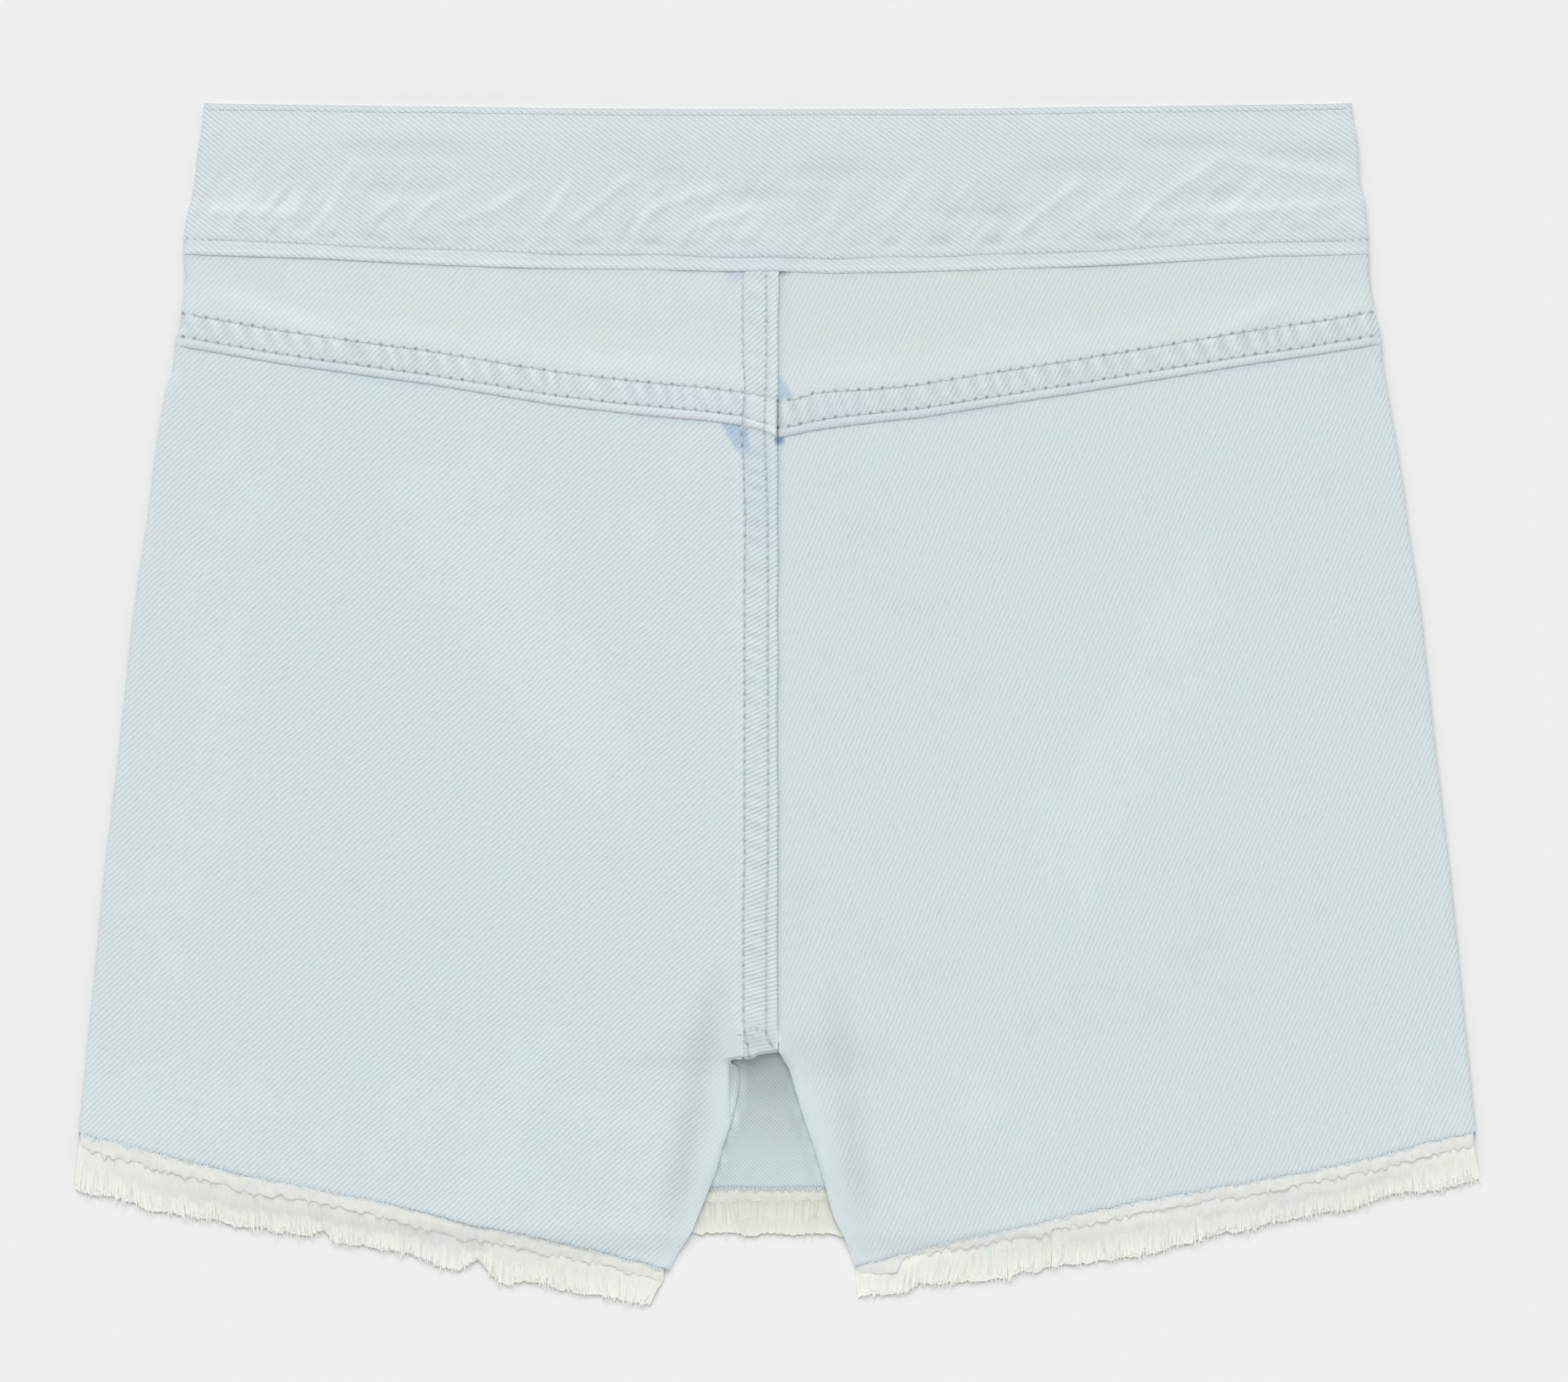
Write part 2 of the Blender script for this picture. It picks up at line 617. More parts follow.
def lap_rise(x, up, rise):
    """The felled edge of the yoke: rounded at its fold, with two stitch rows and puckers."""
    low, high = up - yoke_row(0, x), up - yoke_row(1, x)
    lap = rise * (1 - smooth((high - 0.4) / 14.0))
    between = smooth((low - 0.4) / 1.2) * smooth((-0.2 - high) / 1.2)
    edge = mix(-0.45, 0.0, round_over(up / 0.9)) + 0.1 * bell(up - 1.4, 0.9)
    return lap + edge + groove(low) + groove(high, 0.16), between


def yoke_z(x, y, name):
    up = y - yoke_y(name, x)
    raised, between = lap_rise(x, up, YOKE_LAP_RISE)
    z = base_z(x, y) + beside_seam(x) + ridges(YOKE_CREASES, x, y)
    ripple = 0.32 * pucker(x, up) * between + 0.05 * pucker(x, 0.0) * bell(up - 12, 4)
    if name == "left":
        z += groove(x - cb_row_x(0, y), 0.18, 0.5)
    inward = smooth(from_side(x, y) / SIDE_ROLL)
    return turned_down(z + (raised + ripple) * inward, x, y, BACK_EDGE_Z)


def cb_row_x(row, y):
    """A stitch row of the centre-back seam, which wavers and curves near the crotch."""
    return through(CB_ROWS[row], y) + 0.06 * puckers(y / 6, 44.0 + row)


def cb_left_x(y):
    """The strip's left edge, which its left stitch row hides down to the crotch."""
    return mix(cb_row_x(0, y), CB_LEFT, smooth((-86 - y) / 6))


def cb_fold_x(y):
    """The seam's fold wavers a little."""
    return 0.1 + 0.2 * puckers(y / 13, 50.0) + 0.25 * smooth((y - 70) / 10)


def strip_z(x, y):
    left, right = cb_left_x(y), cb_fold_x(y)
    profile = through(CB_PROFILE, CB_LEFT * (right - x) / (right - left))
    profile += groove(x - cb_row_x(1, y), 0.36, 0.6)
    profile += groove(x - cb_row_x(0, y), 0.25, 0.5) * smooth((-88 - y) / 3)
    profile *= 1 - 0.75 * smooth((-87 - y) / 8)
    up = y - yoke_y("left", x)
    above = smooth(up / 0.25 + 0.5)
    raised, between = lap_rise(x, np.maximum(up, 0), 0.42)
    inside = smooth((x - CB_LEFT) / 1.6) * smooth(-x / 0.8)
    ripple = 0.12 * pucker(y, x - CB_LEFT) * smooth((x + 9.0) / 1.6) * smooth((-3.2 - x) / 1.6)
    ripple += 0.05 * pucker(y + 3, x) * bell(x + 1.4, 0.9)
    crossing = (raised + 0.12 * pucker(x, up) * between) * above * mix(0.45, 1.0, inside)
    z = base_z(x, y) + profile + ripple + crossing
    return mix(CB_END_Z, z, round_over((y - through(CB_BOTTOM, x)) / CB_TURN))


def band_row(row, x):
    """How far a stitch row of the waistband is from its edge; it wavers a little."""
    return BAND_ROWS[row] + (0.12, 0.28)[row] * puckers(x / 15, 33.0 + row)


def drag(x, y):
    """Small slanting drag lines that fan up from the waistband's lower stitches."""
    along, off = 0.62 * x + 0.78 * y, 0.62 * y - 0.78 * x
    up = y - band_y(x)
    where = smooth((up - 4.6) / 2) * (1 - smooth((up - 15) / 18))
    where *= 0.7 + 0.5 * puckers(x / 28, 66.0)
    return where * (puckers(along / 8, off / 1.9 + 20) + 0.5 * puckers(along / 6, off / 1.0 + 50))


def band_z(x, y):
    down, up = waist_y(x) - y, y - band_y(x)
    puff = 0.24 * smooth((up - 4.4) / 5) * smooth((down - 1.4) / 6)
    z = BAND_BACK_TOP + loft(x, y) + puff + 1.4 * ridges(BAND_CREASES, x, y, 0.8)
    z += 0.18 * drag(x, y)
    z += 0.16 * lumps(x / 23 + 11, y / 9 + 5) + 0.06 * lumps(x / 6 + 70, y / 4)
    # the end of the centre-back seam lies under the band
    z += 0.5 * smooth((x + 16) / 4) * smooth((5 - x) / 4) * (1 - smooth((up - 8) / 14))
    z += groove(down - band_row(0, x), 0.05, 0.5) + groove(up - band_row(1, x), 0.26, 0.6)
    z += 0.05 * pucker(x, 0.0, 4.4) * bell(up - 2.2, 1.6)
    z -= 0.5 * (1 - round_over(down)) + 0.5 * (1 - round_over(up))
    return turned_down(z, x, y, BAND_BACK_EDGE_Z)


def panel_z(x, y):
    return turned_up(PANEL_TOP + 0 * x * y, x, y, FRONT_EDGE_Z, PLY)


def band_front_z(x, y):
    return turned_up(BAND_FRONT_TOP + 0 * x * y, x, y, BAND_FRONT_EDGE_Z, BAND_WALL)


def front_leg_z(x, y):
    return FRONT_TOP - past_panel(x, y)


# ---- weave directions ----


def straight_grain(degrees):
    """Weave coordinates of a cloth whose warp is turned by this angle from +Y."""
    cosine, sine = math.cos(math.radians(degrees)), math.sin(math.radians(degrees))
    return lambda x, y: (x * cosine + y * sine, y * cosine - x * sine)


def bent_grain(pairs, along_y):
    """Weave coordinates of a cloth whose warp turns steadily along one axis."""
    steps = np.linspace(min(pairs)[0] - 10, max(pairs)[0] + 10, 600)
    angle = np.radians(through(pairs, steps))
    cosine = np.concatenate([[0], np.cumsum(np.cos(angle[1:]) * np.diff(steps))])
    sine = np.concatenate([[0], np.cumsum(np.sin(angle[1:]) * np.diff(steps))])

    def made(x, y):
        at, other = (y, x) if along_y else (x, y)
        turn = np.interp(at, steps, angle)
        c, s = np.interp(at, steps, cosine), np.interp(at, steps, sine)
        if along_y:
            return other * np.cos(turn) + s, c - other * np.sin(turn)
        return c + other * np.sin(turn), other * np.cos(turn) - s

    return made


# ---- meshes ----

SHARP_FROM = 55  # degrees between two faces
UNDER_STEP = 4  # an under side has every fourth row and column
FLOOR_AIR = 0.02  # no sheet is lower than this


def mesh_of(name, points, face_groups, attributes, material):
    """A smooth mesh from points in millimetres and arrays of faces with equal corners."""
    mesh = bpy.data.meshes.new(name)
    mesh.vertices.add(len(points))
    mesh.vertices.foreach_set("co", (points * MM).astype(np.float32).ravel())
    corners = np.concatenate([faces.ravel() for faces in face_groups])
    counts = np.concatenate([np.full(len(faces), faces.shape[1]) for faces in face_groups])
    mesh.loops.add(len(corners))
    mesh.loops.foreach_set("vertex_index", corners.astype(np.int32))
    mesh.polygons.add(len(counts))
    starts = np.concatenate([[0], np.cumsum(counts)[:-1]])
    mesh.polygons.foreach_set("loop_start", starts.astype(np.int32))
    for key, values in attributes.items():
        layer = mesh.attributes.new(key, "FLOAT_VECTOR", "POINT")
        layer.data.foreach_set("vector", values.astype(np.float32).ravel())
    mesh.update(calc_edges=True)
    mesh.validate()
    mesh.shade_smooth()
    mesh.set_sharp_from_angle(angle=math.radians(SHARP_FROM))
    mesh.materials.append(material)
    piece = bpy.data.objects.new(name, mesh)
    bpy.context.scene.collection.objects.link(piece)
    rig.ride(piece, "root")
    return piece


def joined(*corners):
    """Faces, from an array of points for each of their corners."""
    return np.stack(corners, axis=-1).reshape(-1, len(corners))


def underside(index, kept_rows, kept_columns):
    """Coarse faces under a grid: only these rows and columns, but every point of its rim."""
    inner = index[kept_rows[1:-1]][:, kept_columns[1:-1]]
    quads = joined(inner[:-1, :-1], inner[:-1, 1:], inner[1:, 1:], inner[1:, :-1])
    faces = {4: [quads]}
    last_row, last_column = len(kept_rows) - 2, len(kept_columns) - 2
    for i, (r0, r1) in enumerate(zip(kept_rows, kept_rows[1:])):
        for j, (c0, c1) in enumerate(zip(kept_columns, kept_columns[1:])):
            if 0 < i < last_row and 0 < j < last_column:
                continue
            top = index[r0, c0:c1] if i == 0 else index[r0, c0:c0 + 1]
            right = index[r0:r1, c1] if j == last_column else index[r0:r0 + 1, c1]
            bottom = index[r1, c1:c0:-1] if i == last_row else index[r1, c1:c1 + 1]
            left = index[r1:r0:-1, c0] if j == 0 else index[r1:r1 + 1, c0]
            corners = np.concatenate([top, right, bottom, left])
            faces.setdefault(len(corners), []).append(corners[None, :])
    return [np.concatenate(group) for group in faces.values()]


def thinned(count, kept):
    """Every fourth of these places, with both ends and those that are kept."""
    return np.union1d(np.arange(0, count - 1, UNDER_STEP), [count - 1, *kept]).astype(int)


def shell(name, top, thickness, attributes, material, kept_rows=(), kept_columns=()):
    """A closed sheet of cloth under a grid of points on its upper side. Its thickness is one
    number or one for each point. Its coarser under side has these rows and columns as well."""
    rows, columns = top.shape[:2]
    normal = unit(np.cross(np.gradient(top, axis=0), np.gradient(top, axis=1)))
    low = top - normal * np.broadcast_to(thickness, top.shape[:2])[..., None]
    low[..., 2] = np.maximum(low[..., 2], FLOOR_AIR)
    count = rows * columns
    index = np.arange(count).reshape(rows, columns)
    quads = joined(index[:-1, :-1], index[1:, :-1], index[1:, 1:], index[:-1, 1:])
    rim = np.concatenate([index[0], index[1:, -1], index[-1, -2::-1], index[-2:0:-1, 0]])
    following = np.roll(rim, -1)
    sides = joined(rim, following, following + count, rim + count)
    below = underside(index + count, thinned(rows, kept_rows), thinned(columns, kept_columns))
    points = np.concatenate([top.reshape(-1, 3), low.reshape(-1, 3)])
    faces = [quads, sides, *below]
    used = np.zeros(len(points), bool)
    for group in faces:
        used[group] = True
    place = np.cumsum(used) - 1
    both = {key: np.tile(value.reshape(-1, 3), (2, 1))[used] for key, value in attributes.items()}
    return mesh_of(name, points[used], [place[group] for group in faces], both, material)


def tubes(name, paths, wide, thick, sides, attributes, material):
    """Closed tubes along paths of shape (count, rings, 3), with half-widths per ring."""
    count, rings = paths.shape[:2]
    forward = unit(np.gradient(paths, axis=1))
    sideways = unit(np.cross(forward, np.array([0.0, 0.0, 1.0])))
    upward = np.cross(sideways, forward)
    angle = 2 * np.pi * np.arange(sides) / sides
    cosine, sine = np.cos(angle)[:, None], np.sin(angle)[:, None]
    ring = sideways[:, :, None] * (wide[..., None, None] * cosine)
    ring += upward[:, :, None] * (thick[..., None, None] * sine)
    points = paths[:, :, None] + ring
    index = np.arange(count * rings * sides).reshape(count, rings, sides)
    following = np.roll(index, -1, axis=2)
    walls = joined(index[:, :-1], index[:, 1:], following[:, 1:], following[:, :-1])
    ends = np.concatenate([index[:, 0], index[:, -1, ::-1]])
    spread = {
        key: np.repeat(value[:, :, None], sides, axis=2).reshape(-1, 3)
        for key, value in attributes.items()
    }
    return mesh_of(name, points.reshape(-1, 3), [walls, ends], spread, material)


# ---- grids ----

Steps = namedtuple("Steps", "coarse fine reach_top reach_bottom")

# Distances from the edge of a piece to its first columns
ROUND = (0.0, 0.12, 0.35, 0.7, 1.2, 1.9, 2.7, 3.6)
SEAM_END = (0.0, 0.35, 0.7, 1.1, 1.6, 2.2, 3.0, 4.0)
PLAIN = (0.0,)


def across(width, left, right, middle):
    """Places across rows of these widths: fixed distances near both ends, even between."""
    width = np.atleast_1d(width)[:, None]
    first, last = left[-1], width - right[-1]
    even = first + (last - first) * np.linspace(0, 1, middle + 1)[1:-1]
    left = np.broadcast_to(left, (len(width), len(left)))
    return np.hstack([left, even, width - np.array(right[::-1])]) / width


def patch(edges, shares, downs):
    """Points of the flat shape between four edges that share their corners."""
    top, bottom, left, right = edges
    s, v = shares[..., None], downs[:, None, None]
    ruled = mix(vectors(*top(shares)), vectors(*bottom(shares)), v)
    ruled += mix(vectors(*left(downs))[:, None], vectors(*right(downs))[:, None], s)
    (a, b), (c, d) = (vectors(*edge(np.array([0.0, 1.0]))) for edge in (top, bottom))
    ruled -= mix(mix(a, b, s), mix(c, d, s), v)
    return ruled[..., 0], ruled[..., 1]


def cross_line(x0, x1, height):
    def edge(t):
        x = mix(x0, x1, t)
        return x, height(x)

    return edge


def down_line(place, top_y, bottom_y):
    def edge(t):
        y = mix(top_y, bottom_y, t)
        return place(y), y

    return edge


def meeting(cross, place):
    """The y at which the edge y = cross(x) meets the edge x = place(y)."""
    y = cross(place(0.0))
    for _ in range(16):
        y = mix(y, cross(place(y)), 0.7)
    return float(y)


def four_edges(top, bottom, left, right):
    """The edges of a piece, from its cross edges y(x) and its long edges x(y)."""
    sides = [(place, meeting(top, place), meeting(bottom, place)) for place in (left, right)]
    ends = [[float(place(ys[k])) for place, *ys in sides] for k in (0, 1)]
    return (
        cross_line(*ends[0], top),
        cross_line(*ends[1], bottom),
        down_line(*sides[0]),
        down_line(*sides[1]),
    )


def whole_width(top, bottom):
    return four_edges(top, bottom, partial(side_x, -1), partial(side_x, 1))


def graded(length, steps):
    """Shares down a piece, fine near its two ends."""
    places, at = [0.0], 0.0
    while at < length:
        near_top = smooth((at - steps.reach_top) / (steps.reach_top + 1.0))
        near_bottom = smooth((length - at - steps.reach_bottom) / (steps.reach_bottom + 1.0))
        at += mix(steps.fine, steps.coarse, near_top * near_bottom)
        places.append(at)
    return np.array(places) / at


def gap(edge, other, t):
    """The distance between the places t of two edges."""
    (x0, y0), (x1, y1) = edge(t), other(t)
    return np.hypot(x1 - x0, y1 - y0)


def span(edges):
    """The mean width and length between four edges."""
    top, bottom, left, right = edges
    t = np.linspace(0, 1, 9)
    return gap(left, right, t).mean(), gap(top, bottom, t).mean()


# ---- materials ----


class Value:
    """A number, vector or colour that nodes work out at each point. Sums of them are nodes."""

    def __init__(self, nodes, socket):
        self.nodes, self.socket = nodes, socket

    def __add__(self, other):
        return self.nodes.math("ADD", self, other)

    def __sub__(self, other):
        return self.nodes.math("SUBTRACT", self, other)

    def __mul__(self, other):
        return self.nodes.math("MULTIPLY", self, other)

    def __pow__(self, other):
        return self.nodes.math("POWER", self, other)

    __radd__, __rmul__ = __add__, __mul__


class Nodes:
    """Short ways to put nodes in a tree."""

    def __init__(self, tree):
        self.tree = tree

    def put(self, socket, value):
        value = getattr(value, "socket", value)
        if isinstance(value, bpy.types.NodeSocket):
            self.tree.links.new(value, socket)
        else:
            socket.default_value = value

    def node(self, kind, values=(), **settings):
        made = self.tree.nodes.new(kind)
        for key, value in settings.items():
            setattr(made, key, value)
        for key, value in dict(values).items():
            self.put(made.inputs[key], value)
        return made

    def value(self, kind, values=(), out=0, **settings):
        return Value(self, self.node(kind, values, **settings).outputs[out])

    def math(self, operation, *values):
        return self.value("ShaderNodeMath", enumerate(values), operation=operation)


class Shader(Nodes):
    """The nodes of one material."""

    def __init__(self, name):
        self.material = bpy.data.materials.new(name)
        self.material.use_nodes = True
        super().__init__(self.material.node_tree)
        self.surface = self.tree.nodes["Principled BSDF"]

    def vector(self, x, y, z=0.0):
        return self.value("ShaderNodeCombineXYZ", {0: x, 1: y, 2: z})

    def noise(self, vector, scale, detail=2.0, roughness=0.5):
        """A noise of about -1 to 1."""
        values = {"Vector": vector, "Scale": scale, "Detail": detail, "Roughness": roughness}
        return self.math("MULTIPLY_ADD", self.value("ShaderNodeTexNoise", values), 3.0, -1.5)

    def ramp(self, value, low, high):
        """0 where the value is below low, 1 above high, smooth between (either way round)."""
        values = {"Value": value, "From Min": low, "From Max": high}
        return self.value("ShaderNodeMapRange", values, interpolation_type="SMOOTHSTEP")

    def attribute(self, name):
        """A vector attribute and its three parts."""
        whole = self.value("ShaderNodeAttribute", out="Vector", attribute_name=name)
        parts = self.node("ShaderNodeSeparateXYZ", {0: whole})
        return whole, *(Value(self, part) for part in parts.outputs)

    def scaled(self, painted, factor):
        values = {0: painted, "Scale": factor}
        return self.value("ShaderNodeVectorMath", values, operation="SCALE")

    def blend(self, factor, a, b):
        return self.value("ShaderNodeMix", {"Factor": factor, 6: a, 7: b}, 2, data_type="RGBA")

    def finish(self, painted, height, distance, roughness, sheen):
        values = {"Strength": 1.0, "Distance": distance, "Height": height}
        bump = self.value("ShaderNodeBump", values)
        for key, value in (
            ("Base Color", painted), ("Normal", bump), ("Roughness", roughness),
            ("Sheen Weight", sheen), ("Sheen Roughness", 0.5), ("Specular IOR Level", 0.12),
        ):
            self.put(self.surface.inputs[key], value)
        return self.material


# The twill's lines climb at this angle to the weft
TWILL_ANGLE = math.radians(54.8)
YARNS_PER_LINE = 4


def colour(red, green, blue):
    return (red, green, blue, 1.0)


def grey(level):
    return colour(level, level, level)


def shifted(base, factors):
    """A colour with its red, green and blue multiplied."""
    return colour(*(part * factor for part, factor in zip(base, factors)))


INDIGO = colour(0.29, 0.43, 0.645)
LILAC = colour(0.665, 0.700, 0.830)


def denim(name, base, lines=0.055, relief=0.065, hand=1, pitch=1.16, holes=0.3, furrow=0.06):
    """Bleached denim. The attribute grain holds its weave coordinates; wear its tone, its
    blue left in (lilac where less than nothing) and its distance to a raw edge; stitch the
    place along a seam and the offsets from its two stitch rows."""
    sh = Shader(name)
    _, u, v, bold = sh.attribute("grain")
    grain = sh.vector(u, v)
    _, tone, blue, raw = sh.attribute("wear")
    _, along_seam, *rows = sh.attribute("stitch")
    sine, cosine = math.sin(TWILL_ANGLE), math.cos(TWILL_ANGLE)
    u = u * hand
    across_line = u * sine + v * -cosine
    along_line = u * cosine + v * sine

    # each line wanders, thickens and breaks into beads
    phase = across_line * (1 / pitch) + sh.noise(grain, 0.11, 2.0) * 0.35
    wave = sh.math("SINE", phase * (2 * math.pi))
    beads = sh.noise(sh.vector(across_line * 0.8, along_line * 0.42), 1.0, 1.5)
    patches = 0.85 + sh.noise(grain, 0.13, 2.0) * 0.3
    line = (wave * (1.0 + beads * 0.55)) * (patches * bold)
    turn = 2 * math.pi * YARNS_PER_LINE / pitch
    yarns = sh.math("COSINE", u * (turn * sine))
    picks = sh.math("COSINE", v * (turn * cosine))
    weave = yarns * 0.22 + (yarns * picks) * 0.14

    # streaks along the warp, blotches of bleach and fine fluff
    streaks = sh.noise(sh.vector(u * 0.9, v * 0.035), 1.0, 3.0)
    blotches = sh.noise(grain, 0.045, 3.0)
    mottle = sh.noise(grain, 0.26, 3.0, 0.6)
    fluff = sh.noise(grain, 2.6, 3.0, 0.7)
    shade = line * lines + weave * (lines * 0.6) + streaks * 0.010 + blotches * 0.012
    shade = shade + mottle * 0.015 + fluff * 0.014 + tone

    # needle holes, and the furrow that each row of stitches presses
    marks = []
    for number, row in enumerate(rows):
        place = sh.math("PINGPONG", along_seam, 0.5)
        spot = sh.math("SQRT", (place * 3.0) ** 2.0 + row**2.0)
        worn = sh.noise(sh.vector(along_seam, 7.0 * number), 0.75, 2.0)
        depth = sh.math("MAXIMUM", 1.0 + worn * 0.65, 0.15)
        hole = sh.ramp(spot, 0.8, 0.15) * (depth * holes)
        marks.append(hole + sh.ramp(sh.math("ABSOLUTE", row), 0.6, 0.1) * furrow)
    dark = sh.math("MAXIMUM", *marks)
    # the raw edge is bluer and darker, with an uneven border
    edge = sh.ramp(raw + sh.noise(grain, 1.3, 3.0, 0.7) * 0.7, 1.3, 0.1)
    shade = shade - (dark + edge * 0.07)

    hue = sh.ramp(sh.noise(grain, 0.06, 2.0), -0.9, 0.9)
    greener = shifted(base, (0.990, 1.005, 0.998))
    pinker = shifted(base, (1.012, 0.997, 1.006))
    left_in = sh.math("MAXIMUM", blue, 0.0) * (1.0 + wave * 0.2) + edge * 0.1
    tinted = sh.blend(left_in, sh.blend(hue, greener, pinker), INDIGO)
    tinted = sh.blend(blue * -1.0, tinted, LILAC)
    height = line + weave * 0.8 + fluff * 0.3
    rough = sh.math("MULTIPLY_ADD", fluff, 0.03, 0.9)
    return sh.finish(sh.scaled(tinted, 1.0 + shade), height, relief * MM, rough, 0.12)


def frayed(name, base):
    """Loose cotton yarn. The attribute fibre holds the place across and along it, and a
    shade."""
    sh = Shader(name)
    _, over, down, shade = sh.attribute("fibre")
    strands = sh.noise(sh.vector(over * 2.4, down * 0.09), 1.0, 3.0, 0.6)
    hairs = sh.noise(sh.vector(over * 9.0, down * 0.5), 1.0, 2.0, 0.6)
    tint = sh.ramp(sh.noise(sh.vector(over, down * 0.2), 0.35, 2.0), -0.9, 0.9)
    cool = shifted(base, (0.97, 0.995, 1.02))
    warm = shifted(base, (1.015, 1.0, 0.985))
    painted = sh.scaled(sh.blend(tint, cool, warm), 1.0 + strands * 0.03 + hairs * 0.02 + shade)
    rough = sh.math("MULTIPLY_ADD", hairs, 0.03, 0.93)
    return sh.finish(painted, strands + hairs * 0.6, 0.05 * MM, rough, 0.15)


def sewing_thread(name, base):
    """Twisted thread. The attribute fibre holds the place across and along each stitch."""
    sh = Shader(name)
    fibre, over, down, shade = sh.attribute("fibre")
    twist = sh.math("SINE", down * 14.0 + over * 3.0)
    worn = sh.noise(fibre, 0.8, 2.0)
    painted = sh.scaled(base[:3], 1.0 + twist * 0.05 + worn * 0.04 + shade)
    rough = sh.math("MULTIPLY_ADD", worn, 0.05, 0.75)
    return sh.finish(painted, twist, 0.03 * MM, rough, 0.1)


DENIM = denim("bleached_denim", colour(0.662, 0.742, 0.757), holes=0.20, furrow=0.09)
DENIM_YOKE = denim("bleached_denim_yoke", colour(0.674, 0.742, 0.755), holes=0.40, furrow=0.05)
DENIM_BAND = denim("bleached_denim_band", colour(0.668, 0.737, 0.752), holes=0.20, furrow=0.05)
DENIM_INSIDE = denim(
    "bleached_denim_inside", colour(0.636, 0.724, 0.735), 0.055, 0.05, hand=-1, pitch=0.8
)
YARN = frayed("frayed_cotton_yarn", colour(0.812, 0.826, 0.775))
YARN_SHADED = frayed("frayed_cotton_yarn_shaded", colour(0.725, 0.742, 0.668))
YARN_WARP = frayed("frayed_tinted_yarn", colour(0.675, 0.740, 0.752))
THREAD = sewing_thread("pale_cotton_thread", colour(0.60, 0.672, 0.690))

# ---- cloth ----

FAR = 99.0  # from any stitch row or raw edge
ROLL_STEPS = 12
FLAT_FROM = 2.6  # how far inside the inner thigh's edge the rolled part begins
THIGH_END = (0.0, 0.9, 1.8, FLAT_FROM, 3.2, 4.0, 5.0, 6.0, 7.2)
NEAR_CROTCH = (-93.0, -100.0, -0.21)  # a leg's fine rows beside the crotch
# How far the under side of a rolled thigh shows beyond its upper side
SLIVERS = {
    "left": (
        (-97.8, 0), (-98.8, 3.1), (-103, 3.3), (-106, 2.6), (-111.4, 1.7), (-116, 0.7), (-119, 0),
    ),
    "right": ((-95, 0), (-96, 0.2), (-160, 0.2)),
}


def cloth(
    name, node, edges, height, steps, ends, grain, marks, thickness, material, roll=None, rows=()
):
    """One piece of cloth that stands for a CAD node. The function marks gives its wear, its
    places on seams and how strongly its twill shows. Its grid also has these rows. Where it
    rolls under, its under side is as fine as its upper side."""
    width, length = span(edges)
    downs = np.union1d(graded(length, steps), rows)
    shares = across(gap(edges[2], edges[3], downs), *ends, int(width / steps.coarse))
    x, y = patch(edges, shares, downs)
    top = vectors(x, y, height(x, y))
    whole_ends = 0
    if roll is not None:
        top = roll(top)
        whole_ends = ROLL_STEPS + len(THIGH_END) + 2
    x, y = top[..., 0], top[..., 1]
    u, v = grain(x, y)
    wear, stitch, bold = marks(x, y)
    attributes = {"grain": vectors(u, v, bold), "wear": wear, "stitch": stitch}
    wall = thickness(x, y) if callable(thickness) else thickness
    kept_rows = np.flatnonzero(np.isin(downs, rows))
    columns = np.arange(top.shape[1])
    kept_columns = columns[(columns < whole_ends) | (columns >= len(columns) - whole_ends)]
    piece = shell(name, top, wall, attributes, material, kept_rows, kept_columns)
    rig.replaces(piece, node)
    return piece


def no_stitches(x):
    return vectors(0.0 * x, FAR, FAR)


def uneven_border(x, y):
    """The border of the blue that the bleach left in."""
    return 0.5 * raw_edge(x / 1.3 + 9, y / 1.3)


def plain_marks(x, y, from_hem=FAR):
    """The marks of cloth that has no seam and no wear."""
    return vectors(0 * x, 0.0, from_hem), no_stitches(x), 1.0


def thigh_roll(name, leg):
    """Turns the inner edge of a leg under, from its crotch down."""

    def roll(top):
        flat = top if leg.side < 0 else top[:, ::-1]
        edge, before = flat[:, -1, :2], flat[:, -8, :2]
        inward = unit(before - edge)
        amount = smooth((leg.crotch_y - edge[:, 1]) / 2.4)
        x, y = edge[:, 0], edge[:, 1]
        keep = flat[:, :-3]
        start = np.linalg.norm(keep[:, -1, :2] - edge, axis=-1)
        high = keep[:, -1, 2]
        low = np.maximum(PANEL_TOP - past_panel(x, y), 0.0) + 0.06
        radius = (high - low) / 2
        sliver = through(SLIVERS[name], y)
        rows = []
        for i in range(1, ROLL_STEPS + 2):
            turn = i / ROLL_STEPS
            angle = math.pi * min(turn, 1.0)
            reach = mix(start, radius, smooth(i / 4)) if turn <= 0.5 else radius
            out = reach * (1 - math.sin(angle)) if turn <= 1 else radius + UNDER_WRAP
            out = out - sliver * smooth((turn - 0.55) / 0.2) * smooth((1.05 - turn) / 0.2)
            d = mix(start * (1 - i / (ROLL_STEPS + 1)), out, amount)
            z = mix(high, low + radius * (1 + math.cos(angle)), amount)
            rows.append(np.stack([x + inward[:, 0] * d, y + inward[:, 1] * d, z], axis=-1))
        rolled = np.concatenate([keep, np.stack(rows, axis=1)], axis=1)
        return rolled if leg.side < 0 else rolled[:, ::-1]

    return roll


